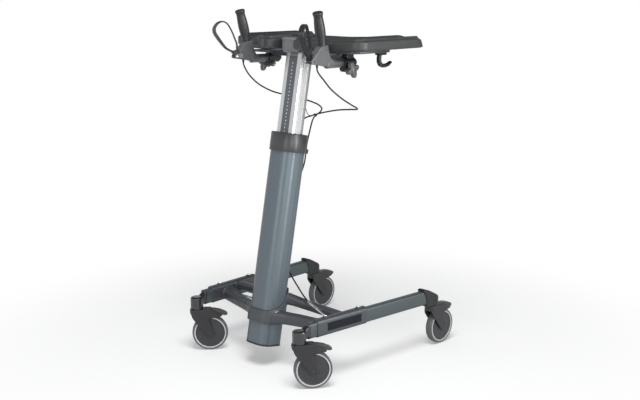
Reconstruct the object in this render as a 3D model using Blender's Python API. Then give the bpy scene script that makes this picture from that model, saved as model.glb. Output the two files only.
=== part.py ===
"""Walking table on four braked casters: a splayed floor frame, a telescopic leaning column with a gas
spring, and a horseshoe armrest with two upright grips, brake loops and their cables.

Metres, +Z up. The user stands at +Y and walks towards -Y. The origin is on the floor under the middle
of the object's box. "left" is the user's left, at +X. Every piece is one object with its own material.
"""

import math

import bmesh
import bpy
from mathutils import Matrix, Vector

# Clearances
GAP = 0.0003
RUNNING_GAP = 0.0006

# Casters: wheel, fork and pedal sizes, the same four times
WHEEL_RADIUS = 0.0625
TYRE_HALF_WIDTH = 0.0135
RIM_RADIUS = 0.055
RIM_HALF_WIDTH = 0.0114
DISC_RADIUS = 0.050
HUB_HALF_WIDTH = 0.0136
AXLE_RADIUS = 0.0038
TRAIL = 0.044
FORK_HALF_WIDTH = 0.0205
FORK_SLOT_HALF_WIDTH = 0.0152
FORK_TOP = 0.1495
FORK_EYE_RADIUS = 0.0150
STEM_RADIUS = 0.008
STEM_LENGTH = 0.034
HOUSING_RADIUS = 0.0225
HOUSING_HEIGHT = 0.043
PEDAL_HALF_WIDTH = 0.0100
PEDAL_PIN_RADIUS = 0.0025
PEDAL_PIVOT = (0.036, 0.1410)
FRONT_STEM = (0.258, -0.350)
REAR_STEM = (0.298, 0.267)
LEFT_FRONT_TURN = 55.0
RIGHT_FRONT_TURN = 51.0
REAR_TURN = 90.0

# Floor frame: two splayed rails in the sleeves of one cast yoke
RAIL_WIDTH = 0.025
RAIL_HEIGHT = 0.050
RAIL_WALL = 0.002
RAIL_CORNER = 0.007
RAIL_MIDDLE_Z = 0.1836
RAIL_FRONT = (0.261, -0.313)
RAIL_REAR = (0.296, 0.230)
SLEEVE_WALL = 0.003
SLEEVE_TOP_WALL = 0.006
SLEEVE_FRONT_Y = -0.285
SLEEVE_REAR_Y = -0.065
CAP_REACH = 0.0230
LACQUER = 0.0001
YOKE_WALL = 0.007
YOKE_BOTTOM = 0.146
YOKE_TOP = 0.290

# Column, measured along its own leaning axis from the floor
LEAN = 10.6
COLUMN_FOOT_Y = -0.2864
TUBE_WIDTH = 0.106
TUBE_FRONT = 0.0475
TUBE_REAR = 0.039
TUBE_WALL = 0.003
TUBE_FRONT_CORNER = 0.036
TUBE_REAR_CORNER = 0.016
TUBE_GROOVE = 0.0015
TUBE_GROOVE_Y = 0.013
TUBE_BOTTOM = 0.0758
TUBE_TOP = 0.782
FOOT_CAP_THICKNESS = 0.006
FOOT_PLUG_DEPTH = 0.012
COLLAR_BOTTOM = 0.727
COLLAR_TOP = 0.789
COLLAR_WALL = 0.005
BUSH_BOTTOM = 0.640
BUSH_TOP = 0.740
INNER_WIDTH = 0.075
INNER_DEPTH = 0.052
INNER_CORNER = 0.003
INNER_WALL = 0.005
INNER_BOTTOM = 0.345
INNER_TOP = 1.0560
STRIP_WIDTH = 0.038
STRIP_THICKNESS = 0.0015
FLUTE_DEPTH = 0.0015
FLUTE_WIDTH = 0.004
SPRING_RADIUS = 0.011
SPRING_TOP = 0.560
ROD_RADIUS = 0.004
ROD_BOTTOM = 0.330
ROD_TOP = 1.0300

# Head and armrest
FRAME_BOTTOM = 1.0475
FRAME_TOP = 1.0565
FRAME_FRONT_Y = -0.150
FRAME_STEP_X = 0.128
FRAME_INNER_X = 0.196
FRAME_HALF_WIDTH = 0.272
FRAME_ARM_REAR_Y = 0.062
PAD_BOTTOM = 1.0570
PAD_TOP = 1.0980
PAD_HALF_WIDTH = 0.300
PAD_FRONT_Y = -0.125
PAD_REAR_Y = 0.194
PAD_ARM_WIDTH = 0.105
PAD_BRIDGE_REAR_Y = -0.034
PAD_INNER_CORNER = 0.050
PAD_OUTER_CORNER = 0.038
PAD_REAR_CORNER = 0.034
PAD_EDGE = 0.009
COVER_HALF_WIDTH = 0.050
COVER_FRONT_Y = -0.140
COVER_REAR_Y = -0.082
COVER_CORNER = 0.022
COVER_BOTTOM = 1.046
COVER_TOP = 1.092
COVER_WALL = 0.007
COVER_LIP = 0.0012

# Handles
HANDLE_X = 0.180
TUBE_Z = 1.015
HANDLE_TUBE_RADIUS = 0.011
HANDLE_TUBE_REAR_Y = -0.016
HANDLE_SLEEVE_RADIUS = 0.0145
HANDLE_SLEEVE_REAR_Y = -0.086
GRIP_BASE = (-0.168, 1.074)
GRIP_LEAN = 13.4
GRIP_SPLAY = 0.05
GRIP_LENGTH = 0.105
GRIP_RADIUS = 0.0145
GRIP_CORE_RADIUS = 0.010
BRACKET_HALF_WIDTH = 0.0135
LEVER_PIVOT = (0.177, -0.219, 1.027)
LEVER_TURN = 25.0
LEVER_HALF_WIDTH = 0.0075
LEVER_FRONT_HALF_WIDTH = 0.0095
LEVER_THICKNESS = 0.0050
LEVER_SQUEEZE = 14.0
LEVER_PIN_RADIUS = 0.0025
CLAMP_FRONT_Y = -0.076
CLAMP_REAR_Y = -0.026
CLAMP_RADIUS = 0.0175
CLAMP_BOSS_RADIUS = 0.0095
KNOB_CENTRE = (0.2110, -0.0600, 0.9940)
KNOB_TURN = 21.0
KNOB_RADIUS = 0.029
KNOB_SCREW_RADIUS = 0.0035
KNOB_SCREW_LENGTH = 0.056

# Hook under the left arm
HOOK_X = 0.250
HOOK_WIDTH = 0.011
HOOK_THICKNESS = 0.007

# Brake cables
CABLE_RADIUS = 0.0023
CABLE_STEP = 0.016
CABLE_END_GAP = 0.0010
CLIP_X = 0.040
CLIP_STAND_OFF = 0.0045
CLIP_BOTTOM = 0.724
CLIP_TOP = 0.746
ADJUSTER_RADIUS = 0.0036
ADJUSTER_START = (0.1380, -0.1940, 0.2290)
ADJUSTER_END = (0.2510, -0.2150, 0.2015)
RIGHT_ADJUSTER_START = (-0.1380, -0.1940, 0.1790)
RIGHT_ADJUSTER_END = (-0.2530, -0.1895, 0.1755)

LEFT = 1
RIGHT = -1
SIDES = (("left", LEFT), ("right", RIGHT))


def clear_scene():
    for obj in list(bpy.data.objects):
        bpy.data.objects.remove(obj, do_unlink=True)


def material(name, colour, roughness, metallic=0.0):
    """A Principled material, made once and found again by its name."""
    found = bpy.data.materials.get(name)
    if found:
        return found
    made = bpy.data.materials.new(name)
    made.use_nodes = True
    made.diffuse_color = (*colour, 1.0)
    shader = made.node_tree.nodes["Principled BSDF"]
    shader.inputs["Base Color"].default_value = (*colour, 1.0)
    shader.inputs["Roughness"].default_value = roughness
    shader.inputs["Metallic"].default_value = metallic
    return made


def painted_steel():
    return material("blue_grey_paint", (0.105, 0.135, 0.150), 0.38, 0.6)


def black_casting():
    return material("anthracite_casting", (0.045, 0.050, 0.056), 0.45, 0.2)


def black_plastic():
    return material("black_plastic", (0.030, 0.031, 0.033), 0.50)


def grey_plastic():
    return material("disc_plastic", (0.075, 0.076, 0.082), 0.55)


def tyre_rubber():
    return material("tyre_rubber", (0.120, 0.122, 0.126), 0.75)


def grip_rubber():
    return material("grip_rubber", (0.022, 0.023, 0.025), 0.80)


def pad_foam():
    return material("pad_foam", (0.055, 0.058, 0.062), 0.55)


def bare_aluminium():
    return material("bare_aluminium", (0.80, 0.81, 0.82), 0.28, 0.9)


def bright_steel():
    return material("bright_steel", (0.62, 0.63, 0.65), 0.25, 1.0)


def strip_plastic():
    return material("strip_plastic", (0.070, 0.078, 0.084), 0.45)


def cable_plastic():
    return material("cable_plastic", (0.015, 0.015, 0.016), 0.50)


def empty(name, matrix, parent=None):
    """A joint's place: the pieces on it are its children, with their origin on the axis."""
    made = bpy.data.objects.new(name, None)
    bpy.context.scene.collection.objects.link(made)
    made.parent = parent
    made.matrix_local = matrix
    return made


def carry(joint, *pieces):
    """Hangs pieces on a joint's empty without moving them."""
    bpy.context.view_layer.update()
    for piece in pieces:
        place = piece.matrix_world.copy()
        piece.parent = joint
        piece.matrix_world = place


def add(name, bm, mat, parent=None):
    """Turns a bmesh into an object under its parent and closes the bmesh."""
    bmesh.ops.recalc_face_normals(bm, faces=bm.faces)
    mesh = bpy.data.meshes.new(name)
    bm.to_mesh(mesh)
    bm.free()
    mesh.materials.append(mat)
    made = bpy.data.objects.new(name, mesh)
    bpy.context.scene.collection.objects.link(made)
    made.parent = parent
    return made


def finish(obj, angle=35.0):
    """Shades the round faces smooth and keeps the edges sharper than the angle."""
    obj.data.shade_smooth()
    obj.data.set_sharp_from_angle(angle=math.radians(angle))
    return obj


def combine(target, other, operation):
    """Applies one exact Boolean of the other object to the target and removes the other."""
    modifier = target.modifiers.new(operation, "BOOLEAN")
    modifier.operation = operation
    modifier.solver = "EXACT"
    modifier.object = other
    bpy.context.view_layer.update()
    graph = bpy.context.evaluated_depsgraph_get()
    result = bpy.data.meshes.new_from_object(target.evaluated_get(graph))
    target.modifiers.clear()
    target.data = result
    bpy.data.objects.remove(other, do_unlink=True)
    return target


def union(target, other):
    return combine(target, other, "UNION")


def cut(target, other):
    return combine(target, other, "DIFFERENCE")


def keep_inside(target, other):
    return combine(target, other, "INTERSECT")


def loft(rings, closed=False):
    """Skins a run of rings that have as many points each; a closed run joins its last ring to its first."""
    bm = bmesh.new()
    made = [[bm.verts.new(point) for point in ring] for ring in rings]
    count = len(made[0])
    pairs = list(zip(made, made[1:]))
    if closed:
        pairs.append((made[-1], made[0]))
    for low, high in pairs:
        for i in range(count):
            j = (i + 1) % count
            bm.faces.new((low[i], low[j], high[j], high[i]))
    if not closed:
        bm.faces.new(list(reversed(made[0])))
        bm.faces.new(made[-1])
    return bm


def arc(centre, radius, start, end, steps):
    """Points on an arc, in degrees, both ends included."""
    turns = [math.radians(start + (end - start) * i / steps) for i in range(steps + 1)]
    return [(centre[0] + radius * math.cos(t), centre[1] + radius * math.sin(t)) for t in turns]


def rounded_rectangle(width, depth, radius, steps=4):
    """An anticlockwise outline about the origin with four equal round corners."""
    x = width / 2 - radius
    y = depth / 2 - radius
    points = arc((x, -y), radius, -90, 0, steps)
    points += arc((x, y), radius, 0, 90, steps)
    points += arc((-x, y), radius, 90, 180, steps)
    points += arc((-x, -y), radius, 180, 270, steps)
    return points


def prism_z(points, low, high):
    return loft([[(x, y, low) for x, y in points], [(x, y, high) for x, y in points]])


def prism_x(points, low, high):
    """A (y, z) outline extruded along X."""
    return loft([[(low, y, z) for y, z in points], [(high, y, z) for y, z in points]])


def prism_y(points, low, high):
    """An (x, z) outline extruded along Y."""
    return loft([[(x, low, z) for x, z in points], [(x, high, z) for x, z in points]])


def box(low, high):
    x0, y0, z0 = low
    x1, y1, z1 = high
    return prism_z([(x0, y0), (x1, y0), (x1, y1), (x0, y1)], z0, z1)


def turned(profile, steps, closed=False):
    """A solid turned about Z from (radius, height) points. A closed profile leaves a bore."""
    turns = [2 * math.pi * i / steps for i in range(steps)]
    rings = [[(r * math.cos(t), r * math.sin(t), z) for t in turns] for r, z in profile]
    return loft(rings, closed)


def rod(radius, start, end, steps=16):
    """A round bar between two points."""
    start = Vector(start)
    along = Vector(end) - start
    bm = turned([(radius, 0.0), (radius, along.length)], steps)
    turn = Vector((0, 0, 1)).rotation_difference(along.normalized()).to_matrix().to_4x4()
    bm.transform(Matrix.Translation(start) @ turn)
    return bm


def swept(route, section, across):
    """Sweeps a section of (side, up) points along a route. The side direction stays square to across."""
    rings = []
    across = Vector(across).normalized()
    for i, point in enumerate(route):
        ahead = Vector(route[min(i + 1, len(route) - 1)])
        behind = Vector(route[max(i - 1, 0)])
        along = (ahead - behind).normalized()
        up = across.cross(along).normalized()
        rings.append([Vector(point) + across * s + up * u for s, u in section(i)])
    return rings


def smooth_route(points, spacing, first=0, last=None):
    """Even points on a Catmull-Rom curve through the given ones, from the first index to the last."""
    spots = [Vector(p) for p in points]
    last = len(spots) - 1 if last is None else last
    spots = [2 * spots[0] - spots[1]] + spots + [2 * spots[-1] - spots[-2]]
    fine = []
    for a, b, c, d in list(zip(spots, spots[1:], spots[2:], spots[3:]))[first:last]:
        for i in range(24):
            t = i / 24
            fine.append(
                0.5 * (2 * b + (c - a) * t + (2 * a - 5 * b + 4 * c - d) * t**2 + (3 * b - a - 3 * c + d) * t**3)
            )
    fine.append(spots[last + 1])
    lengths = [0.0]
    for a, b in zip(fine, fine[1:]):
        lengths.append(lengths[-1] + (b - a).length)
    count = max(2, round(lengths[-1] / spacing))
    even = []
    k = 0
    for i in range(count + 1):
        want = lengths[-1] * i / count
        while k < len(lengths) - 2 and lengths[k + 1] < want:
            k += 1
        share = (want - lengths[k]) / max(lengths[k + 1] - lengths[k], 1e-9)
        even.append(fine[k].lerp(fine[k + 1], min(share, 1.0)))
    return even


def mirrored(points, side):
    return [(side * x, y, z) for x, y, z in points]


def rail_frame(side):
    """The matrix of a rail: Y along it to the rear, Z up, the origin at its front end and mid height."""
    front = Vector((side * RAIL_FRONT[0], RAIL_FRONT[1], RAIL_MIDDLE_Z))
    rear = Vector((side * RAIL_REAR[0], RAIL_REAR[1], RAIL_MIDDLE_Z))
    along = (rear - front).normalized()
    turn = math.atan2(-along.x, along.y)
    return Matrix.Translation(front) @ Matrix.Rotation(turn, 4, "Z")


def rail_length():
    return math.hypot(RAIL_REAR[0] - RAIL_FRONT[0], RAIL_REAR[1] - RAIL_FRONT[1])


def column_frame():
    """The matrix of the column: Z along its leaning axis from the floor, -Y to its front face."""
    return Matrix.Translation((0, COLUMN_FOOT_Y, 0)) @ Matrix.Rotation(math.radians(-LEAN), 4, "X")


def tube_section(grow=0.0, groove=0.0):
    """The column tube's outline, moved out by grow: a deep round front, a square back, a groove each side."""
    x = TUBE_WIDTH / 2
    front = TUBE_FRONT_CORNER
    rear = TUBE_REAR_CORNER
    front_y = front - TUBE_FRONT
    rear_y = TUBE_REAR - rear
    side = []
    if groove:
        side = [
            (x + grow, TUBE_GROOVE_Y - groove),
            (x + grow - groove, TUBE_GROOVE_Y),
            (x + grow, TUBE_GROOVE_Y + groove),
        ]
    points = arc((x - front, front_y), front + grow, -90, 0, 6)
    points += side
    points += arc((x - rear, rear_y), rear + grow, 0, 90, 3)
    points += arc((rear - x, rear_y), rear + grow, 90, 180, 3)
    points += [(-px, py) for px, py in reversed(side)]
    points += arc((front - x, front_y), front + grow, 180, 270, 6)
    return points


def inner_section():
    """The inner extrusion's outline: a recess in front for the strip and two flutes on each side."""
    x = INNER_WIDTH / 2
    y = INNER_DEPTH / 2
    r = INNER_CORNER
    recess = STRIP_WIDTH / 2 + GAP
    depth = STRIP_THICKNESS + GAP
    flutes = []
    for middle in (-0.009, 0.009):
        flutes += [
            (x, middle - FLUTE_WIDTH / 2),
            (x - FLUTE_DEPTH, middle - FLUTE_WIDTH / 2 + FLUTE_DEPTH / 2),
            (x - FLUTE_DEPTH, middle + FLUTE_WIDTH / 2 - FLUTE_DEPTH / 2),
            (x, middle + FLUTE_WIDTH / 2),
        ]
    half = [(recess, depth - y), (recess, -y)]
    half += arc((x - r, r - y), r, -90, 0, 3)
    half += flutes
    half += arc((x - r, y - r), r, 0, 90, 3)
    return half + [(-px, py) for px, py in reversed(half)]


# Casters


def caster_frame(side, stem, turn):
    """The matrix of a caster: origin on the floor under its stem, X along its trail."""
    place = Matrix.Translation((side * stem[0], stem[1], 0))
    return place @ Matrix.Rotation(math.radians(turn), 4, "Z")


def wheel_turn():
    """Lays a turned piece's axis from Z to the caster's Y, at the axle."""
    return Matrix.Translation((TRAIL, 0, WHEEL_RADIUS)) @ Matrix.Rotation(math.radians(-90), 4, "X")


def fork(name, parent):
    """Fork with a round crown, a rear hood over the tyre, two legs and the stem that turns in the frame."""
    eye = (TRAIL, WHEEL_RADIUS)
    outline = [(-0.0235, FORK_TOP), (-0.0262, 0.1435), (-0.0240, 0.1340), (-0.0170, 0.1195), (-0.0085, 0.1070)]
    outline += arc(eye, FORK_EYE_RADIUS, 212, 375, 6)
    outline += [(0.0405, 0.1115), (0.0440, 0.1150), (0.0520, 0.1175), (0.0840, 0.1225), (0.0880, 0.1255)]
    outline += [(0.0850, 0.1290), (0.0660, 0.1370), (0.0530, 0.1460), (0.0450, FORK_TOP)]
    body = add(name, prism_y(outline, -FORK_HALF_WIDTH, FORK_HALF_WIDTH), black_plastic(), parent)
    crown = arc((0, 0), 0.0262, 110, 250, 6) + [(0.020, -0.0215), (0.060, -0.0205), (0.092, -0.0160)]
    crown += [(0.092, 0.0160), (0.060, 0.0205), (0.020, 0.0215)]
    keep_inside(body, add("crown_plan", prism_z(crown, 0.0, 0.170), black_plastic(), parent))
    slot = FORK_SLOT_HALF_WIDTH
    well_top = 2 * WHEEL_RADIUS + 0.0045
    cut(body, add("slot", box((-0.05, -slot, 0.02), (TRAIL, slot, well_top)), black_plastic(), parent))
    well = turned([(WHEEL_RADIUS + 0.0038, -slot), (WHEEL_RADIUS + 0.0038, slot)], 28)
    well.transform(wheel_turn())
    cut(body, add("wheel_well", well, black_plastic(), parent))
    bore = AXLE_RADIUS + GAP
    cut(body, add("axle_bore", rod(bore, (TRAIL, -0.03, WHEEL_RADIUS), (TRAIL, 0.03, WHEEL_RADIUS), 12),
                  black_plastic(), parent))
    recess = PEDAL_HALF_WIDTH + RUNNING_GAP
    cut(body, add("pedal_recess", box((0.0290, -recess, 0.1200), (0.0950, recess, 0.1700)), black_plastic(), parent))
    pivot_x, pivot_z = PEDAL_PIVOT
    reach = PEDAL_HALF_WIDTH + 0.006
    seat = rod(PEDAL_PIN_RADIUS + GAP, (pivot_x, -reach, pivot_z), (pivot_x, reach, pivot_z), 10)
    cut(body, add("pedal_seat", seat, black_plastic(), parent))
    stem = turned([(STEM_RADIUS, FORK_TOP - 0.003), (STEM_RADIUS, FORK_TOP + STEM_LENGTH)], 12)
    union(body, add("stem", stem, black_plastic(), parent))
    return finish(body)


def pedal(name, parent):
    """Finger pedal that locks the wheel; it turns on two trunnions in the fork's cheeks."""
    px, pz = PEDAL_PIVOT
    outline = [(-0.0062, -0.0040), (-0.0050, -0.0065), (0.0150, -0.0080), (0.0340, -0.0100), (0.0500, -0.0145)]
    outline += [(0.0610, -0.0170), (0.0680, -0.0165), (0.0705, -0.0135), (0.0690, -0.0095), (0.0620, -0.0045)]
    outline += [(0.0440, 0.0035), (0.0240, 0.0078), (-0.0040, 0.0080), (-0.0062, 0.0060)]
    points = [(px + x, pz + z) for x, z in outline]
    body = add(name, prism_y(points, -PEDAL_HALF_WIDTH, PEDAL_HALF_WIDTH), black_plastic(), parent)
    tip = arc((0.0, 0.0), PEDAL_HALF_WIDTH, 90, 270, 6)
    plan = [(0.020 - x, y) for x, y in tip]
    plan = [(px + 0.0710 - 0.030 + x, y) for x, y in plan] + [(px - 0.02, -0.02), (px - 0.02, 0.02)]
    ordered = sorted(plan, key=lambda p: math.atan2(p[1], p[0] - px - 0.02))
    keep_inside(body, add("pedal_plan", prism_z(ordered, 0.10, 0.17), black_plastic(), parent))
    reach = PEDAL_HALF_WIDTH + 0.005
    union(body, add("trunnion", rod(PEDAL_PIN_RADIUS, (px, -reach, pz), (px, reach, pz), 10), black_plastic(), parent))
    return finish(body)


def wheel_core(name, parent):
    """Wheel disc with its hub, bored for the axle, and the rim that the tyre sits on."""
    half = [(AXLE_RADIUS + GAP, HUB_HALF_WIDTH), (0.011, HUB_HALF_WIDTH), (DISC_RADIUS, RIM_HALF_WIDTH - 0.0012)]
    half += [(0.0520, RIM_HALF_WIDTH), (RIM_RADIUS, RIM_HALF_WIDTH)]
    profile = [(r, -z) for r, z in half] + [(r, z) for r, z in reversed(half)]
    bm = turned(profile, 24, closed=True)
    bm.transform(wheel_turn())
    return finish(add(name, bm, grey_plastic(), parent))


def tyre(name, parent):
    """Solid tyre with a rounded tread."""
    inner = RIM_RADIUS + GAP
    half = [(inner, RIM_HALF_WIDTH), (0.0590, TYRE_HALF_WIDTH), (0.0615, 0.0110), (WHEEL_RADIUS, 0.0060)]
    profile = [(r, -z) for r, z in half] + [(r, z) for r, z in reversed(half)]
    bm = turned(profile, 24, closed=True)
    bm.transform(wheel_turn())
    return finish(add(name, bm, tyre_rubber(), parent), 60)


def axle(name, parent):
    reach = FORK_HALF_WIDTH - 0.0008
    return finish(add(name, rod(AXLE_RADIUS, (TRAIL, -reach, WHEEL_RADIUS), (TRAIL, reach, WHEEL_RADIUS), 12),
                      bright_steel(), parent))


def caster(corner, side, stem, turn):
    """One caster: the fork turns on the stem, the wheel on the axle and the pedal on its trunnions."""
    swivel = empty(corner + "_swivel_axis", caster_frame(side, stem, turn))
    wheel = empty(corner + "_wheel_axis", Matrix.Translation((TRAIL, 0, WHEEL_RADIUS)), swivel)
    brake = empty(corner + "_pedal_axis", Matrix.Translation((PEDAL_PIVOT[0], 0, PEDAL_PIVOT[1])), swivel)
    fork(corner + "_fork", swivel)
    axle(corner + "_axle", swivel)
    carry(brake, pedal(corner + "_brake_pedal", swivel))
    carry(wheel, wheel_core(corner + "_wheel_disc", swivel), tyre(corner + "_tyre", swivel))


# Floor frame


def rail(name, side):
    """A rail, lacquered where it shows and bare in its sleeve and its cap."""
    place = empty(name + "_place", rail_frame(side))
    length = rail_length()
    outline = rounded_rectangle(RAIL_WIDTH, RAIL_HEIGHT, RAIL_CORNER, 3)
    sleeve_end = SLEEVE_REAR_Y - RAIL_FRONT[1] + 0.002
    cap_start = length - CAP_REACH - 0.002
    bare = rounded_rectangle(RAIL_WIDTH - 2 * LACQUER, RAIL_HEIGHT - 2 * LACQUER, RAIL_CORNER - LACQUER, 3)
    stations = ((0.0, bare), (sleeve_end - 0.001, bare), (sleeve_end, outline))
    stations += ((cap_start, outline), (cap_start + 0.001, bare), (length, bare))
    body = add(name, loft([[(x, y, z) for x, z in ring] for y, ring in stations]), painted_steel(), place)
    hollow = rounded_rectangle(RAIL_WIDTH - 2 * RAIL_WALL, RAIL_HEIGHT - 2 * RAIL_WALL, RAIL_CORNER - RAIL_WALL, 3)
    cut(body, add("rail_bore", prism_y(hollow, -0.01, length + 0.01), painted_steel(), place))
    return finish(body)


def band(stations, steps=2):
    """A cross member lofted along X from (x, front y, rear y, low z, high z, corner) and mirrored."""
    half = list(stations)
    both = [(-x, *rest) for x, *rest in reversed(half) if x > 0] + half
    rings = []
    for x, front, rear, low, high, corner in both:
        middle = ((front + rear) / 2, (low + high) / 2)
        outline = rounded_rectangle(rear - front, high - low, corner, steps)
        rings.append([(x, middle[0] + y, middle[1] + z) for y, z in outline])
    return loft(rings)


def yoke(name):
    """Cast yoke: a clamping collar round the column, a front and a rear beam a side, and two rail sleeves."""
    reach = RAIL_FRONT[0]
    front = [
        (0.000, -0.3080, -0.2600, 0.1520, 0.1960, 0.006),
        (0.040, -0.2950, -0.2500, 0.1510, 0.1940, 0.008),
        (0.065, -0.2770, -0.2360, 0.1500, 0.1910, 0.009),
        (0.100, -0.2610, -0.2240, 0.1500, 0.1900, 0.010),
        (0.140, -0.2495, -0.2150, 0.1500, 0.1900, 0.010),
        (0.195, -0.2400, -0.2090, 0.1520, 0.1910, 0.010),
        (reach - 0.010, -0.2340, -0.2030, 0.1570, 0.1960, 0.010),
    ]
    rear = [
        (0.000, -0.2150, -0.1850, 0.2030, 0.2400, 0.006),
        (0.050, -0.2130, -0.1840, 0.2000, 0.2380, 0.007),
        (0.078, -0.1980, -0.1690, 0.1950, 0.2290, 0.008),
        (0.115, -0.1850, -0.1570, 0.1880, 0.2200, 0.009),
        (0.151, -0.1760, -0.1480, 0.1830, 0.2155, 0.009),
        (0.195, -0.1710, -0.1430, 0.1800, 0.2125, 0.009),
        (reach - 0.006, -0.1700, -0.1420, 0.1790, 0.2105, 0.009),
    ]
    column = empty("yoke_column_place", column_frame())
    body = add(name, band(front), black_casting())
    union(body, add("rear_band", band(rear), black_casting()))
    collar = add("collar", prism_z(tube_section(YOKE_WALL + GAP), YOKE_BOTTOM, YOKE_TOP), black_casting(), column)
    side_view = [(-0.35, 0.10), (-0.10, 0.10), (-0.10, 0.2560), (-0.1950, 0.2560), (-0.2040, 0.2420)]
    side_view += [(-0.2170, 0.2210), (-0.2310, 0.2090), (-0.2540, 0.2015), (-0.2850, 0.1975), (-0.35, 0.1965)]
    keep_inside(collar, add("collar_trim", prism_x(side_view, -0.10, 0.10), black_casting()))
    union(body, collar)
    outer_width = RAIL_WIDTH + 2 * SLEEVE_WALL
    outer_height = RAIL_HEIGHT + SLEEVE_WALL + SLEEVE_TOP_WALL
    outline = rounded_rectangle(outer_width, outer_height, RAIL_CORNER + SLEEVE_WALL, 3)
    lift = (SLEEVE_TOP_WALL - SLEEVE_WALL) / 2
    bore = rounded_rectangle(RAIL_WIDTH + 2 * GAP, RAIL_HEIGHT + 2 * GAP, RAIL_CORNER + GAP, 3)
    for side_name, side in SIDES:
        place = empty(side_name + "_sleeve_place", rail_frame(side))
        low = SLEEVE_FRONT_Y - RAIL_FRONT[1]
        high = SLEEVE_REAR_Y - RAIL_FRONT[1]
        sleeve = prism_y([(x, z + lift) for x, z in outline], low, high)
        union(body, add("sleeve", sleeve, black_casting(), place))
        for spot in (low + 0.045, high - 0.030):
            lug = turned([(0.0075, 0.0), (0.0075, outer_height / 2 + lift + 0.004)], 12)
            lug.transform(Matrix.Translation((0, spot, 0)))
            union(body, add("lug", lug, black_casting(), place))
        cut(body, add("rail_hole", prism_y(bore, low - 0.02, high + 0.02), black_casting(), place))
    cut(body, add("tube_hole", prism_z(tube_section(GAP), 0.0, 0.4), black_casting(), column))
    return finish(body)


def front_bracket(name, side):
    """End plug in the rail with a swan neck down to the stem housing of the front caster."""
    place = empty(name + "_place", rail_frame(side))
    inner_width = RAIL_WIDTH - 2 * RAIL_WALL - 2 * GAP
    inner_height = RAIL_HEIGHT - 2 * RAIL_WALL - 2 * GAP
    plug = rounded_rectangle(inner_width, inner_height, RAIL_CORNER - RAIL_WALL - GAP, 3)
    body = add(name, prism_y(plug, -0.004, 0.022), black_plastic(), place)
    flange = rounded_rectangle(RAIL_WIDTH + 0.001, RAIL_HEIGHT + 0.001, RAIL_CORNER, 3)
    union(body, add("flange", prism_y(flange, -0.0055, -GAP), black_plastic(), place))
    stem_x = side * FRONT_STEM[0]
    housing_low = FORK_TOP + 0.001
    housing_high = housing_low + HOUSING_HEIGHT
    start = Vector((side * RAIL_FRONT[0], RAIL_FRONT[1] - 0.003, 0))
    rings = []
    for share, half_width, low, high in ((0.0, 0.0115, 0.1640, 0.2030), (0.35, 0.0110, 0.1620, 0.1990),
                                         (0.7, 0.0120, 0.1570, 0.1930), (1.0, 0.0130, 0.1540, 0.1890)):
        spot = start.lerp(Vector((stem_x, FRONT_STEM[1] + 0.008, 0)), share)
        outline = rounded_rectangle(2 * half_width, high - low, 0.005, 2)
        rings.append([(spot.x + x, spot.y, (low + high) / 2 + z) for x, z in outline])
    union(body, add("neck", loft(rings), black_plastic()))
    profile = [(HOUSING_RADIUS - 0.0015, housing_low), (HOUSING_RADIUS, housing_low + 0.002)]
    profile += [(HOUSING_RADIUS, housing_high - 0.004), (HOUSING_RADIUS - 0.003, housing_high - 0.0008)]
    profile += [(HOUSING_RADIUS - 0.008, housing_high)]
    housing = turned(profile, 18)
    housing.transform(Matrix.Translation((stem_x, FRONT_STEM[1], 0)))
    union(body, add("housing", housing, black_plastic()))
    bore = turned([(STEM_RADIUS + GAP, 0.14), (STEM_RADIUS + 2 * GAP, FORK_TOP + STEM_LENGTH + GAP)], 12)
    bore.transform(Matrix.Translation((stem_x, FRONT_STEM[1], 0)))
    cut(body, add("stem_bore", bore, black_plastic()))
    return finish(body)


def rear_cap(name, side):
    """Cap over the rail's rear end: arched top with a visor, and the stem housing of the rear caster."""
    stem_x = side * REAR_STEM[0]
    stem_y = REAR_STEM[1]
    low = FORK_TOP + 0.001
    end_y = RAIL_REAR[1]
    outline = [(end_y - 0.003, low), (stem_y + 0.0225, low), (stem_y + 0.0200, 0.1640), (stem_y + 0.0165, 0.1695)]
    outline += [(stem_y + 0.0240, 0.1690), (stem_y + 0.0230, 0.1735), (stem_y + 0.0030, 0.1900)]
    outline += [(stem_y - 0.0200, 0.2040), (stem_y - 0.0380, 0.2130), (end_y - 0.0140, 0.2165)]
    outline += [(end_y - CAP_REACH, 0.2130), (end_y - 0.0180, 0.2030), (end_y - 0.0090, 0.1850), (end_y - 0.0040, 0.1550)]
    body = add(name, prism_x(outline, stem_x - 0.03, stem_x + 0.03), black_plastic())
    half = RAIL_WIDTH / 2 + 0.0030
    rail_x = side * RAIL_REAR[0]
    plan = [(rail_x - half - side * 0.0025, end_y - 0.045), (rail_x + half - side * 0.0025, end_y - 0.045)]
    plan += [(rail_x + half, end_y + 0.004)]
    plan += arc((stem_x, stem_y), HOUSING_RADIUS, -30, 210, 14)
    plan += [(rail_x - half, end_y + 0.004)]
    keep_inside(body, add("cap_plan", prism_z(plan, 0.12, 0.23), black_plastic()))
    place = empty(name + "_place", rail_frame(side))
    hole = rounded_rectangle(RAIL_WIDTH + 2 * GAP, RAIL_HEIGHT + 2 * GAP, RAIL_CORNER + GAP, 3)
    cut(body, add("rail_pocket", prism_y(hole, 0.30, rail_length() + GAP), black_plastic(), place))
    bore = turned([(STEM_RADIUS + GAP, 0.14), (STEM_RADIUS + 2 * GAP, FORK_TOP + STEM_LENGTH + GAP)], 12)
    bore.transform(Matrix.Translation((stem_x, stem_y, 0)))
    cut(body, add("stem_bore", bore, black_plastic()))
    return finish(body)


# Column


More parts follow.
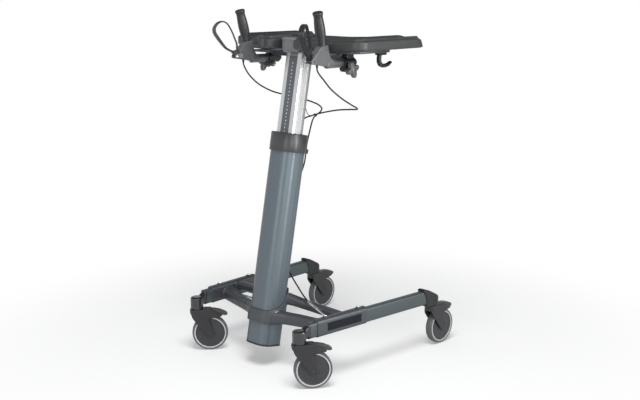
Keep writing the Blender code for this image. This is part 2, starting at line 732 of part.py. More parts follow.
def outer_tube(name, column):
    """The column's outer tube, lacquered between the yoke and the collar."""
    outline = tube_section(0.0, TUBE_GROOVE)
    bare = tube_section(-LACQUER, TUBE_GROOVE)
    stations = ((TUBE_BOTTOM, bare), (YOKE_TOP + 0.001, bare), (YOKE_TOP + 0.002, outline))
    stations += ((COLLAR_BOTTOM - 0.002, outline), (COLLAR_BOTTOM - 0.001, bare), (TUBE_TOP, bare))
    body = add(name, loft([[(x, y, z) for x, y in ring] for z, ring in stations]), painted_steel(), column)
    cut(body, add("tube_bore", prism_z(tube_section(-TUBE_WALL), 0.0, 1.0), painted_steel(), column))
    return finish(body)


def foot_cap(name, column):
    """End cap under the tube; the gas spring stands on its boss."""
    plate = prism_z(tube_section(0.0010), TUBE_BOTTOM - GAP - FOOT_CAP_THICKNESS, TUBE_BOTTOM - GAP)
    body = add(name, plate, black_plastic(), column)
    plug = prism_z(tube_section(-TUBE_WALL - GAP), TUBE_BOTTOM - 0.001, TUBE_BOTTOM + FOOT_PLUG_DEPTH)
    union(body, add("foot_plug", plug, black_plastic(), column))
    return finish(body)


def column_collar(name, column):
    """Collar over the tube's top, open for the inner column, with a cable clip at its rear."""
    low = tube_section(COLLAR_WALL + GAP)
    high = tube_section(COLLAR_WALL - 0.002)
    rings = [[(x, y, COLLAR_BOTTOM) for x, y in low], [(x, y, COLLAR_TOP - 0.003) for x, y in low]]
    rings.append([(x, y, COLLAR_TOP) for x, y in high])
    body = add(name, loft(rings), black_plastic(), column)
    back = TUBE_REAR + COLLAR_WALL
    for side_name, side in SIDES:
        x = side * CLIP_X
        clip = box((x - 0.006, back - 0.006, COLLAR_BOTTOM), (x + 0.006, back + CLIP_STAND_OFF + 0.0045, CLIP_TOP - 0.004))
        union(body, add("cable_clip", clip, black_plastic(), column))
        y = back + CLIP_STAND_OFF
        hole = rod(CABLE_RADIUS + RUNNING_GAP, (x, y, 0.60), (x, y, 0.90), 10)
        cut(body, add("cable_hole", hole, black_plastic(), column))
    seat = prism_z(tube_section(GAP), COLLAR_BOTTOM - 0.02, TUBE_TOP + GAP)
    cut(body, add("tube_seat", seat, black_plastic(), column))
    opening = rounded_rectangle(INNER_WIDTH + 2 * RUNNING_GAP, INNER_DEPTH + 2 * RUNNING_GAP, INNER_CORNER, 3)
    cut(body, add("inner_opening", prism_z(opening, 0.7, 0.9), black_plastic(), column))
    return finish(body)


def glide_bush(name, column):
    """Plastic guide between the tube and the inner column."""
    body = add(name, prism_z(tube_section(-TUBE_WALL - GAP), BUSH_BOTTOM, BUSH_TOP), black_plastic(), column)
    opening = rounded_rectangle(INNER_WIDTH + 2 * GAP, INNER_DEPTH + 2 * GAP, INNER_CORNER, 3)
    cut(body, add("bush_bore", prism_z(opening, 0.5, 0.9), black_plastic(), column))
    return finish(body)


def spring_cylinder(name, column):
    low = TUBE_BOTTOM + FOOT_PLUG_DEPTH + GAP
    floor = low + 0.008
    profile = [(SPRING_RADIUS - 0.001, low), (SPRING_RADIUS, low + 0.001), (SPRING_RADIUS, SPRING_TOP - 0.002)]
    profile += [(SPRING_RADIUS - 0.002, SPRING_TOP)]
    body = add(name, turned(profile, 16), bright_steel(), column)
    bore = turned([(ROD_RADIUS + GAP, floor), (ROD_RADIUS + 2 * GAP, SPRING_TOP + 0.01)], 12)
    cut(body, add("rod_bore", bore, bright_steel(), column))
    return finish(body)


def spring_rod(name, column):
    return finish(add(name, turned([(ROD_RADIUS, ROD_BOTTOM), (ROD_RADIUS, ROD_TOP)], 12), bright_steel(), column))


def inner_column(name, column):
    body = add(name, prism_z(inner_section(), INNER_BOTTOM, INNER_TOP), bare_aluminium(), column)
    hollow = rounded_rectangle(INNER_WIDTH - 2 * INNER_WALL, INNER_DEPTH - 2 * INNER_WALL, 0.004, 2)
    cut(body, add("inner_bore", prism_z(hollow, INNER_BOTTOM - 0.1, INNER_TOP + 0.1), bare_aluminium(), column))
    return finish(body)


def scale_strip(name, column):
    front = -INNER_DEPTH / 2
    low = (-STRIP_WIDTH / 2, front, INNER_BOTTOM + 0.01)
    high = (STRIP_WIDTH / 2, front + STRIP_THICKNESS, INNER_TOP - 0.012)
    return finish(add(name, box(low, high), strip_plastic(), column))


# Head and armrest


def tray_frame(name, column):
    """Plate under the armrest, with the plug that fits the inner column and a guide bar each side."""
    front = FRAME_FRONT_Y
    inner = FRAME_INNER_X
    plate_front = COVER_FRONT_Y + COVER_WALL
    beside = COVER_HALF_WIDTH + 0.004
    half = [(0.0, plate_front), (beside, plate_front), (beside + 0.010, front), (FRAME_STEP_X, front + 0.004)]
    half += [(FRAME_STEP_X + 0.012, front + 0.038), (inner + 0.009, front + 0.040), (FRAME_HALF_WIDTH - 0.020, front + 0.040)]
    half += [(FRAME_HALF_WIDTH, front + 0.060)]
    half += [(FRAME_HALF_WIDTH, FRAME_ARM_REAR_Y - 0.010), (FRAME_HALF_WIDTH - 0.010, FRAME_ARM_REAR_Y)]
    half += [(inner + 0.030, FRAME_ARM_REAR_Y), (inner + 0.020, FRAME_ARM_REAR_Y - 0.010), (inner + 0.018, -0.040)]
    half += [(inner - 0.010, -0.062), (0.0, -0.062)]
    outline = half + [(-x, y) for x, y in reversed(half) if x > 0]
    body = add(name, prism_z(outline, FRAME_BOTTOM, FRAME_TOP), black_casting())
    plug = rounded_rectangle(INNER_WIDTH - 2 * INNER_WALL - 2 * GAP, INNER_DEPTH - 2 * INNER_WALL - 2 * GAP, 0.004, 2)
    socket = add("socket", prism_z(plug, ROD_TOP + GAP, INNER_TOP + 0.006), black_casting(), column)
    union(body, socket)
    rim = rounded_rectangle(INNER_WIDTH + 0.006, INNER_DEPTH + 0.006, INNER_CORNER + 0.003, 3)
    head = add("head", prism_z(rim, INNER_TOP + GAP, INNER_TOP + 0.010), black_casting(), column)
    trim = box((-0.1, -0.3, 0.9), (0.1, 0.1, FRAME_TOP))
    keep_inside(head, add("head_trim", trim, black_casting()))
    union(body, head)
    for side_name, side in SIDES:
        x = side * (HANDLE_X - 0.0195)
        bar = box((x - 0.004, front - 0.004, 1.0400), (x + 0.004, -0.0860, FRAME_BOTTOM + 0.0005))
        union(body, add("guide_bar", bar, black_casting()))
        cross = box((min(0.5 * x, x), front - 0.004, 1.0400), (max(0.5 * x, x), front + 0.006, FRAME_BOTTOM + 0.001))
        union(body, add("cross_bar", cross, black_casting()))
    return finish(body)


def pad_outline():
    """Half the horseshoe from its front middle round the arm and back, then mirrored."""
    outer = PAD_OUTER_CORNER
    rear = PAD_REAR_CORNER
    inner = PAD_HALF_WIDTH - PAD_ARM_WIDTH
    notch = COVER_HALF_WIDTH + GAP
    half = [(notch, COVER_REAR_Y + GAP), (notch, -0.170), (0.064, -0.180)]
    half += arc((0.096, -0.168), 0.017, 215, 330, 4)
    half += [(0.121, -0.158), (0.138, -0.1450), (0.158, -0.1375), (0.190, -0.1340), (0.222, -0.1300)]
    half += [(0.250, -0.1270)]
    half += arc((PAD_HALF_WIDTH - outer, outer + PAD_FRONT_Y), outer, -75, 0, 4)
    half += arc((PAD_HALF_WIDTH - rear, PAD_REAR_Y - rear), rear, 0, 90, 4)
    half += arc((inner + rear, PAD_REAR_Y - rear), rear, 90, 180, 4)
    half += arc((inner - PAD_INNER_CORNER, PAD_BRIDGE_REAR_Y + PAD_INNER_CORNER), PAD_INNER_CORNER, 0, -90, 5)
    return half + [(-px, py) for px, py in reversed(half)]


def tray_pad(name):
    """Horseshoe armrest pad: a rounded upper edge, a tucked lower edge and a slight crown."""
    bm = prism_z(pad_outline(), PAD_BOTTOM, PAD_TOP - 0.0015)
    bmesh.ops.recalc_face_normals(bm, faces=bm.faces)
    bottom = min(bm.faces, key=lambda face: face.calc_center_median().z)
    bmesh.ops.bevel(bm, geom=list(bottom.edges), offset=0.004, segments=1, affect="EDGES")
    top = max(bm.faces, key=lambda face: face.calc_center_median().z)
    bmesh.ops.bevel(bm, geom=list(top.edges), offset=PAD_EDGE, segments=2, affect="EDGES")
    top = max(bm.faces, key=lambda face: face.calc_center_median().z)
    bmesh.ops.inset_region(bm, faces=[top], thickness=PAD_EDGE)
    for vert in top.verts:
        vert.co.z = PAD_TOP
    return finish(add(name, bm, pad_foam()))


def head_cover(name, column):
    """Cover round the column's top: a lip along its upper edge, and a lower edge square to the column."""
    depth = COVER_REAR_Y - COVER_FRONT_Y
    middle = (COVER_REAR_Y + COVER_FRONT_Y) / 2
    height = COVER_TOP - COVER_BOTTOM
    slope = math.tan(math.radians(LEAN))
    levels = [(0.0, 0.0050, 1.0), (0.12, 0.0015, 1.0), (0.35, 0.0, 0.5), (0.76, COVER_LIP, 0.0), (0.80, 0.0, 0.0)]
    levels += [(0.94, 0.0, 0.0), (1.0, 0.0025, 0.0)]
    rings = []
    for share, inset, tilt in levels:
        outline = rounded_rectangle(2 * (COVER_HALF_WIDTH - inset), depth - 2 * inset, COVER_CORNER - inset, 4)
        z = COVER_BOTTOM + height * share
        rings.append([(x, middle + y, z - tilt * slope * (y + depth / 2)) for x, y in outline])
    body = add(name, loft(rings), black_plastic())
    room = rounded_rectangle(INNER_WIDTH + 0.0066, INNER_DEPTH + 0.0066, INNER_CORNER + 0.0033, 3)
    cut(body, add("column_room", prism_z(room, 0.9, INNER_TOP + 0.0135), black_plastic(), column))
    slot = box((-0.1, COVER_FRONT_Y + COVER_WALL - GAP, FRAME_BOTTOM - GAP), (0.1, 0.0, FRAME_TOP + GAP))
    cut(body, add("plate_slot", slot, black_plastic()))
    return finish(body)


def bag_hook(name):
    """J hook with its block, screwed under the left arm."""
    top = FRAME_BOTTOM - GAP
    block = box((HOOK_X - 0.010, 0.018, top - 0.007), (HOOK_X + 0.010, 0.048, top))
    body = add(name, block, black_plastic())
    route = [(0.027, top - 0.003), (0.0245, 1.030), (0.0245, 1.018), (0.0300, 1.0085), (0.0400, 1.0040)]
    route += [(0.0540, 1.0035), (0.0680, 1.0065), (0.0800, 1.0135)]
    thick = [HOOK_THICKNESS * share for share in (1.2, 1.1, 1.1, 1.2, 1.2, 1.0, 0.8, 0.55)]
    spots = [(HOOK_X, y, z) for y, z in route]
    rings = swept(spots, lambda i: rounded_rectangle(HOOK_WIDTH, thick[i], 0.0018, 2), (1, 0, 0))
    union(body, add("hook", loft(rings), black_plastic()))
    return finish(body)


# Handles


def handle_clamp(name, side):
    """Split clamp for the handle tube, hung from the armrest frame, with the lugs that the knob pulls together."""
    x = side * HANDLE_X
    top = FRAME_BOTTOM - GAP
    ring = rod(CLAMP_RADIUS, (x, CLAMP_FRONT_Y, TUBE_Z), (x, CLAMP_REAR_Y, TUBE_Z), 20)
    body = add(name, ring, black_plastic())
    neck = box((x - 0.011, CLAMP_FRONT_Y + 0.014, TUBE_Z), (x + 0.011, CLAMP_REAR_Y - 0.006, top))
    union(body, add("neck", neck, black_plastic()))
    screw_y, screw_z = KNOB_CENTRE[1:]
    boss = rod(CLAMP_BOSS_RADIUS, (x - 0.017, screw_y, screw_z), (x + 0.017, screw_y, screw_z), 16)
    union(body, add("boss", boss, black_plastic()))
    hole = rod(KNOB_SCREW_RADIUS + GAP, (x - 0.03, screw_y, screw_z), (x + 0.03, screw_y, screw_z), 12)
    cut(body, add("screw_hole", hole, black_plastic()))
    bore = rod(HANDLE_TUBE_RADIUS + GAP, (x, -0.2, TUBE_Z), (x, 0.2, TUBE_Z), 20)
    cut(body, add("tube_bore", bore, black_plastic()))
    slit = box((x - 0.001, -0.2, 0.95), (x + 0.001, 0.2, TUBE_Z))
    cut(body, add("slit", slit, black_plastic()))
    return finish(body)


def star_knob(name, side):
    """Four-lobed knob with its screw, turning about the screw's own axis."""
    place = Matrix.Translation((side * KNOB_CENTRE[0], KNOB_CENTRE[1], KNOB_CENTRE[2]))
    axis = empty(name + "_axis", place @ Matrix.Rotation(math.radians(side * 90), 4, "Y"))
    steps = 28
    outline = []
    for i in range(steps):
        angle = 2 * math.pi * i / steps
        reach = KNOB_RADIUS * (0.76 + 0.24 * math.cos(4 * (angle - math.radians(KNOB_TURN))))
        outline.append((reach * math.cos(angle), reach * math.sin(angle)))
    rings = []
    for height, share in ((-0.007, 0.90), (-0.005, 1.0), (0.005, 1.0), (0.009, 0.82)):
        rings.append([(px * share, py * share, height) for px, py in outline])
    body = add(name, loft(rings), black_plastic(), axis)
    hub_length = KNOB_CENTRE[0] - HANDLE_X - 0.017 - RUNNING_GAP
    hub = turned([(0.0095, -hub_length), (0.0110, -0.004), (0.0110, 0.0)], 16)
    union(body, add("knob_hub", hub, black_plastic(), axis))
    screw = turned([(KNOB_SCREW_RADIUS, -KNOB_SCREW_LENGTH), (KNOB_SCREW_RADIUS, 0.0)], 10)
    union(body, add("knob_screw", screw, black_plastic(), axis))
    return axis, finish(body)


def grip_axis(side):
    """The grip's base and its direction, leaning towards the front and a little outwards."""
    base = Vector((side * HANDLE_X, GRIP_BASE[0], GRIP_BASE[1]))
    lean = math.radians(GRIP_LEAN)
    return base, Vector((side * GRIP_SPLAY, -math.sin(lean), math.cos(lean))).normalized()


def handle_bracket(name, side):
    """Handle tube with the moulded bracket that carries the grip and the brake lever."""
    x = HANDLE_X
    base, along = grip_axis(LEFT)
    tube = rod(HANDLE_TUBE_RADIUS, (x, -0.150, TUBE_Z), (x, HANDLE_TUBE_REAR_Y, TUBE_Z), 20)
    body = add(name, tube, black_plastic())
    radius = HANDLE_SLEEVE_RADIUS
    profile = [(radius, 0.0), (radius, HANDLE_SLEEVE_REAR_Y + 0.146), (radius - 0.003, HANDLE_SLEEVE_REAR_Y + 0.150)]
    sleeve = turned(profile, 20)
    sleeve.transform(Matrix.Translation((x, -0.150, TUBE_Z)) @ Matrix.Rotation(math.radians(-90), 4, "X"))
    union(body, add("sleeve", sleeve, black_plastic()))
    outline = [(-0.2250, 1.0200), (-0.2130, 1.0175), (-0.1910, 1.0140), (-0.1680, 1.0105), (-0.1480, 1.0060)]
    outline += [(-0.1300, 1.0030), (-0.1250, 1.0255), (-0.1360, 1.0300), (-0.1440, 1.0420), (-0.1490, 1.0560)]
    outline += [(-0.1530, 1.0760), (-0.1820, 1.0720), (-0.1900, 1.0640), (-0.2240, 1.0310), (-0.2270, 1.0260)]
    web = add("web", prism_x(outline, x - BRACKET_HALF_WIDTH, x + BRACKET_HALF_WIDTH), black_plastic())
    union(body, web)
    bevel_sharp(body, 0.0030)
    seat = lever_frame(LEFT)
    half = LEVER_HALF_WIDTH + RUNNING_GAP
    cheeks = box((-0.0125, -0.0020, -0.0072), (0.0125, 0.0220, 0.0090))
    cheeks.transform(seat)
    union(body, add("cheeks", cheeks, black_plastic()))
    ears = rod(0.0075, seat @ Vector((-0.0135, 0, 0)), seat @ Vector((0.0135, 0, 0)), 16)
    union(body, add("ears", ears, black_plastic()))
    slope = math.tan(math.radians(LEVER_SQUEEZE))
    view = [(-0.040, -0.013), (0.0105, -0.013), (0.0105, 0.0125), (0.0105 + (0.060 - 0.0125) * slope, 0.060)]
    slot = prism_x(view + [(-0.040, 0.060)], -half, half)
    slot.transform(seat)
    cut(body, add("lever_slot", slot, black_plastic()))
    core = rod(GRIP_CORE_RADIUS, base - along * 0.020, base + along * (GRIP_LENGTH - 0.006), 20)
    union(body, add("grip_core", core, black_plastic()))
    hole = rod(LEVER_PIN_RADIUS + GAP, seat @ Vector((-0.02, 0, 0)), seat @ Vector((0.02, 0, 0)), 10)
    cut(body, add("pin_hole", hole, black_plastic()))
    if side == RIGHT:
        mirror_x(body)
    return finish(body)


def mirror_x(obj):
    """Turns a piece modelled at +X into its twin at -X."""
    bm = bmesh.new()
    bm.from_mesh(obj.data)
    bmesh.ops.scale(bm, vec=(-1, 1, 1), verts=bm.verts)
    bmesh.ops.reverse_faces(bm, faces=bm.faces)
    bm.to_mesh(obj.data)
    bm.free()


def bevel_sharp(obj, width):
    """Rounds the edges sharper than 50 degrees."""
    modifier = obj.modifiers.new("round", "BEVEL")
    modifier.width = width
    modifier.segments = 1
    modifier.limit_method = "ANGLE"
    modifier.angle_limit = math.radians(50)
    bpy.context.view_layer.update()
    graph = bpy.context.evaluated_depsgraph_get()
    result = bpy.data.meshes.new_from_object(obj.evaluated_get(graph))
    obj.modifiers.clear()
    obj.data = result


def grip(name, side):
    """Rubber grip pushed over the core, with a flange at its closed end."""
    base, along = grip_axis(side)
    end = GRIP_LENGTH
    profile = [(GRIP_RADIUS + 0.0005, 0.0), (GRIP_RADIUS - 0.0005, 0.006), (GRIP_RADIUS + 0.0005, end * 0.4)]
    profile += [(GRIP_RADIUS - 0.0007, end - 0.020), (GRIP_RADIUS + 0.0018, end - 0.009)]
    profile += [(GRIP_RADIUS + 0.0022, end - 0.003), (GRIP_RADIUS - 0.001, end)]
    bm = turned(profile, 20)
    turn = Vector((0, 0, 1)).rotation_difference(along).to_matrix().to_4x4()
    start = base + along * 0.0045
    bm.transform(Matrix.Translation(start) @ turn)
    body = add(name, bm, grip_rubber())
    hole = rod(GRIP_CORE_RADIUS + GAP, base - along * 0.01, base + along * (GRIP_LENGTH - 0.006 + GAP), 20)
    cut(body, add("core_hole", hole, grip_rubber()))
    return finish(body)


def lever_frame(side):
    """Origin at the lever's pivot, X along the pin, -Y ahead in the lever's own plane."""
    pivot = (side * LEVER_PIVOT[0], LEVER_PIVOT[1], LEVER_PIVOT[2])
    return Matrix.Translation(pivot) @ Matrix.Rotation(math.radians(side * LEVER_TURN), 4, "Z")


def brake_lever(name, side):
    """Closed brake loop of flat band with the block that turns on the lever pin."""
    place = empty(name + "_axis", lever_frame(side))
    loop = [(0.0030, 0.0180), (0.0025, 0.0400), (-0.0034, 0.0570), (-0.0145, 0.0840), (-0.0270, 0.1055)]
    loop += [(-0.0376, 0.1135), (-0.0470, 0.1155), (-0.0580, 0.1125), (-0.0665, 0.1060), (-0.0733, 0.0960)]
    loop += [(-0.0747, 0.0870), (-0.0713, 0.0750), (-0.0564, 0.0530), (-0.0376, 0.0295), (-0.0220, 0.0195)]
    loop += [(-0.0100, 0.0150)]
    spots = smooth_route([(0, y, z) for y, z in loop], 0.0115)
    half = LEVER_HALF_WIDTH

    def section(i):
        share = math.sin(math.pi * min(1.0, max(0.0, i / (len(spots) - 1) * 1.6 - 0.3))) ** 2
        width = half + (LEVER_FRONT_HALF_WIDTH - half) * share
        return rounded_rectangle(2 * width, LEVER_THICKNESS, 0.0015, 1)

    body = add(name, loft(swept(spots, section, (1, 0, 0))), black_plastic(), place)
    hub = [(0.0062, 0.0), (0.0035, 0.0215), (-0.016, 0.0165), (-0.016, 0.010), (-0.006, 0.003), (-0.0065, -0.003)]
    hub += [(-0.0025, -0.0065), (0.0025, -0.0065)]
    union(body, add("lever_hub", prism_x(hub, -half + 0.001, half - 0.001), black_plastic(), place))
    hole = rod(LEVER_PIN_RADIUS + GAP, (-0.03, 0, 0), (0.03, 0, 0), 10)
    cut(body, add("pin_hole", hole, black_plastic(), place))
    return place, finish(body)


def lever_pin(name, side):
    place = empty(name + "_place", lever_frame(side))
    return finish(add(name, rod(LEVER_PIN_RADIUS, (-0.0150, 0, 0), (0.0150, 0, 0), 10), bright_steel(), place))


# Brake cables

def column_point(x, y, s):
    """A place given in the column's own frame, in world coordinates."""
    return tuple(column_frame() @ Vector((x, y, s)))


def cable(name, points, first, last, trim_start, trim_end):
    """One stretch of a cable, between two of its route's points, as a bevelled curve."""
    data = bpy.data.curves.new(name, "CURVE")
    data.dimensions = "3D"
    data.bevel_depth = CABLE_RADIUS
    data.bevel_resolution = 2
    data.use_fill_caps = True
    data.materials.append(cable_plastic())
    route = smooth_route(points, CABLE_STEP, first, last)
    route[0] = route[0] + (route[1] - route[0]).normalized() * trim_start
    route[-1] = route[-1] + (route[-2] - route[-1]).normalized() * trim_end
    spline = data.splines.new("POLY")
    spline.points.add(len(route) - 1)
    for spot, point in zip(spline.points, route):
        spot.co = (*point, 1.0)
    made = bpy.data.objects.new(name, data)
    bpy.context.scene.collection.objects.link(made)
    return made


def cable_low_route(side):
    """From the collar's clip down the back of the tube and across to the adjuster."""
    clip_y = TUBE_REAR + COLLAR_WALL + CLIP_STAND_OFF
    back = TUBE_REAR + CABLE_RADIUS + 0.002
    heights = (CLIP_TOP + 0.020, CLIP_TOP, CLIP_BOTTOM, CLIP_BOTTOM - 0.020)
    points = [column_point(side * CLIP_X, clip_y, s) for s in heights]
    points += [column_point(side * x, y, s) for x, y, s in ((0.037, back + 0.004, 0.680), (0.026, back, 0.630))]
    points += [column_point(side * x, back, s) for x, s in ((0.012, 0.560), (0.008, 0.460), (0.010, 0.390))]
    if side == LEFT:
        points += [(0.018, -0.172, 0.330), (0.030, -0.173, 0.302), (0.051, -0.177, 0.284)]
        return points + [(0.082, -0.183, 0.262), (0.110, -0.1885, 0.243), ADJUSTER_START]
    points += [(-0.016, -0.172, 0.330), (-0.021, -0.169, 0.280), (-0.030, -0.170, 0.235), (-0.044, -0.174, 0.203)]
    return points + [(-0.066, -0.181, 0.186), (-0.098, -0.189, 0.181), RIGHT_ADJUSTER_START]


def cables():
    """Each cable crosses behind the column: the left lever's ends at the right adjuster."""
    left = [(0.177, -0.188, 1.0132), (0.177, -0.187, 0.9990), (0.178, -0.180, 0.9860), (0.181, -0.164, 0.9680)]
    left += [(0.189, -0.135, 0.9340), (0.200, -0.096, 0.9020), (0.2100, -0.062, 0.8800), (0.2110, -0.038, 0.8680)]
    left += [(0.196, -0.022, 0.8610), (0.160, -0.014, 0.8570), (0.112, -0.024, 0.8520), (0.066, -0.044, 0.8420)]
    left += [(0.026, -0.064, 0.8290), (-0.010, -0.073, 0.8100)]
    right = [(-0.177, -0.188, 1.0132), (-0.177, -0.187, 0.9990), (-0.177, -0.177, 0.9800), (-0.176, -0.158, 0.9560)]
    right += [(-0.170, -0.125, 0.9270), (-0.154, -0.085, 0.9030), (-0.124, -0.056, 0.8900), (-0.078, -0.047, 0.8840)]
    right += [(-0.030, -0.048, 0.8800), (0.010, -0.047, 0.8740), (0.036, -0.040, 0.8650), (0.045, -0.033, 0.8530)]
    right += [(0.036, -0.032, 0.8400), (0.024, -0.038, 0.8290), (0.020, -0.053, 0.8110)]
    made = {}
    for name, side, points, middle in (("left", RIGHT, left, 10), ("right", LEFT, right, 8)):
        held = len(points) + 1
        points = points + cable_low_route(side)
        made[name, "hang"] = cable(name + "_cable_hang", points, 0, middle, CABLE_END_GAP, CABLE_END_GAP / 2)
        made[name, "slack"] = cable(name + "_cable_slack", points, middle, held, CABLE_END_GAP / 2, CABLE_END_GAP / 2)
        made[name, "run"] = cable(name + "_cable_run", points, held, len(points) - 1, CABLE_END_GAP / 2, CABLE_END_GAP)
    return made


def adjuster(name, side):
    """Bright adjuster between the cable and the frame's sleeve."""
    start = Vector(ADJUSTER_START if side == LEFT else RIGHT_ADJUSTER_START)
    end = Vector(ADJUSTER_END if side == LEFT else RIGHT_ADJUSTER_END)
    along = (end - start).normalized()
    length = (end - start).length
    profile = [(0.0028, 0.0), (ADJUSTER_RADIUS, 0.002), (ADJUSTER_RADIUS, length * 0.55), (0.0024, length * 0.56)]
    profile += [(0.0024, length)]
    bm = turned(profile, 12)
    turn = Vector((0, 0, 1)).rotation_difference(along).to_matrix().to_4x4()
    bm.transform(Matrix.Translation(start) @ turn)
    return finish(add(name, bm, bright_steel()))


def handle_unit(side_name, side, lift):
    """One handle with its clamp, knob and brake lever. The handle slides in the clamp."""
    clamp = handle_clamp(side_name + "_handle_clamp", side)
    knob_axis, knob = star_knob(side_name + "_clamp_knob", side)
    slide = empty(side_name + "_handle_axis", Matrix.Translation((side * HANDLE_X, CLAMP_FRONT_Y, TUBE_Z)))
    lever_axis, lever = brake_lever(side_name + "_brake_lever", side)
    carry(lift, clamp, knob_axis, slide)
    carry(slide, handle_bracket(side_name + "_handle", side), grip(side_name + "_grip", side))
    carry(slide, lever_pin(side_name + "_lever_pin", side), lever_axis)
    return slide


def main():
    clear_scene()
    column = empty("column_place", column_frame())
    lift = empty("column_lift_axis", column_frame())
    for side_name, side in SIDES:
        front_turn = LEFT_FRONT_TURN if side == LEFT else RIGHT_FRONT_TURN
        caster(side_name + "_front", side, FRONT_STEM, front_turn)
        caster(side_name + "_rear", side, REAR_STEM, REAR_TURN)
        rail(side_name + "_rail", side)
        front_bracket(side_name + "_front_bracket", side)
        rear_cap(side_name + "_rear_cap", side)
        adjuster(side_name + "_cable_adjuster", side)
    yoke("base_yoke")
    outer_tube("outer_tube", column)
    foot_cap("foot_cap", column)
    column_collar("column_collar", column)
    glide_bush("glide_bush", column)
    spring_cylinder("gas_spring_cylinder", column)
    inner_column("inner_column", lift)
    scale_strip("scale_strip", lift)
    spring_rod("gas_spring_rod", lift)
    head = [tray_frame("tray_frame", column), head_cover("head_cover", column), tray_pad("tray_pad")]
    carry(lift, *head, bag_hook("bag_hook"))
    lines = cables()
    for side_name, side in SIDES:
        slide = handle_unit(side_name, side, lift)
        carry(slide, lines[side_name, "hang"])
        carry(lift, lines[side_name, "slack"])
    bpy.context.view_layer.update()


main()
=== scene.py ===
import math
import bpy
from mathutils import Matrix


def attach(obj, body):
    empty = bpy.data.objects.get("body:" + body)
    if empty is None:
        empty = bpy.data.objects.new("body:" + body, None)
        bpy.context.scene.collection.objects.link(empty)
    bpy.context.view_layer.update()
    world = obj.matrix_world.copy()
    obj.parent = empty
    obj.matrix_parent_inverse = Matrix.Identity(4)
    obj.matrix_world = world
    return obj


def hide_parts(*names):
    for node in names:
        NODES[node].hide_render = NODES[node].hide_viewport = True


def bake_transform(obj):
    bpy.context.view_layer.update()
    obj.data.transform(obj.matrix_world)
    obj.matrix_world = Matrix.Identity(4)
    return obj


bl_info = {
    "name": "Walking Table",
    "version": (1, 0, 0),
    "blender": (4, 5, 0),
    "location": "3D View > Sidebar > Walking Table",
    "description": "Finishes the walking table: its surfaces, pad, cables, fasteners, stage and camera",
    "category": "Object",
}

import bmesh
import bpy
from mathutils import Matrix, Vector

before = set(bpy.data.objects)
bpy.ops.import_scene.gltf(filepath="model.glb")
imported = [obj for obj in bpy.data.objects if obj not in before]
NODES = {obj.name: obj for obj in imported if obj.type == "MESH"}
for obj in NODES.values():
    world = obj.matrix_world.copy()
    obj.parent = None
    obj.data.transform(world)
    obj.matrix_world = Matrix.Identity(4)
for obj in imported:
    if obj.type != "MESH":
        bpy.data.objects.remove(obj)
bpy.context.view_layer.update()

# Places from the CAD model, in metres and degrees
LEAN = 10.6
COLUMN_FOOT_Y = -0.2864
TUBE_WIDTH = 0.106
TUBE_FRONT = 0.0475
TUBE_REAR = 0.039
TUBE_CORNERS = (0.036, 0.016)
TUBE_GROOVE_Y = 0.013
TUBE_GROOVE_HALF_WIDTH = 0.0014
TUBE_GROOVE_DEPTH = 0.0015
TUBE_BOTTOM = 0.0758
TUBE_TOP = 0.782
COLLAR_WALL = 0.005
CLIP_STAND_OFF = 0.0045
CLIP_X = 0.040
CLIP_TOP = 0.746
CLIP_BOTTOM = 0.724
INNER_DEPTH = 0.052
STRIP_BOTTOM = 0.355
STRIP_TOP = 1.044
DOTS_START = 0.018
DOTS_MARGIN = 0.024
YOKE_MIDDLE = 0.235
YOKE_CORE_LENGTH = 0.170
YOKE_CORE_GAP = 0.003
YOKE_HOLE_LENGTH = 0.40
SLEEVE_FILL_GAP = 0.002
SLEEVE_FILL_CORNER = 0.006
SLEEVE_BORE_CORNER = 0.0073
BORE_CLEARANCE = 0.0006
RAIL_WIDTH = 0.025
RAIL_HEIGHT = 0.050
RAIL_CORNER = 0.007
RAIL_MIDDLE_Z = 0.1836
RAIL_FRONT = (0.261, -0.313)
RAIL_REAR = (0.296, 0.230)
SLEEVE_SIDE = 0.0155
SLEEVE_TOP = 0.0310
SLEEVE_FRONT_Y = -0.285
SLEEVE_REAR_Y = -0.065
WHEEL_RADIUS = 0.0625
TRAIL = 0.044
FORK_SIDE = 0.0205
HANDLE_X = 0.180
GRIP_BASE = (-0.168, 1.074)
GRIP_LEAN = 13.4
GRIP_SPLAY = 0.05
GRIP_LENGTH = 0.105
GRIP_RADIUS = 0.0145
GRIP_START = 0.0045
LEVER_PIVOT = (0.177, -0.219, 1.027)
LEVER_TURN = 25.0
LOOP_ROUTE = (
    (0.0030, 0.0180), (0.0025, 0.0400), (-0.0034, 0.0570), (-0.0145, 0.0840), (-0.0270, 0.1055), (-0.0376, 0.1135),
    (-0.0470, 0.1155), (-0.0580, 0.1125), (-0.0665, 0.1060), (-0.0733, 0.0960), (-0.0747, 0.0870), (-0.0713, 0.0750),
    (-0.0564, 0.0530), (-0.0376, 0.0295), (-0.0220, 0.0195), (-0.0100, 0.0150),
)
LOOP_WIDTHS = (
    0.0120, 0.0110, 0.0100, 0.0098, 0.0102, 0.0112, 0.0130, 0.0155,
    0.0175, 0.0188, 0.0190, 0.0186, 0.0170, 0.0150, 0.0140, 0.0132,
)
LOOP_DEPTHS = (
    0.0050, 0.0048, 0.0046, 0.0044, 0.0042, 0.0040, 0.0042, 0.0052,
    0.0072, 0.0090, 0.0098, 0.0098, 0.0088, 0.0078, 0.0070, 0.0064,
)
LOOP_ROOT = 0.022
LOOP_EDGE = 0.0014
LOOP_STEP = 0.0025
PIN_REACH = 0.0150
CLAMP_NUT_STEP = 0.0170
KNOB_CENTRE = (0.211, -0.060, 0.994)
KNOB_FACE = 0.0082
PAD_ARM_X = 0.2475
PAD_TROUGH_HALF_WIDTH = 0.040
PAD_TROUGH_FRONT = (-0.15, -0.09)
PAD_BRIDGE_Y = -0.085
PAD_BRIDGE_HALF_DEPTH = 0.055
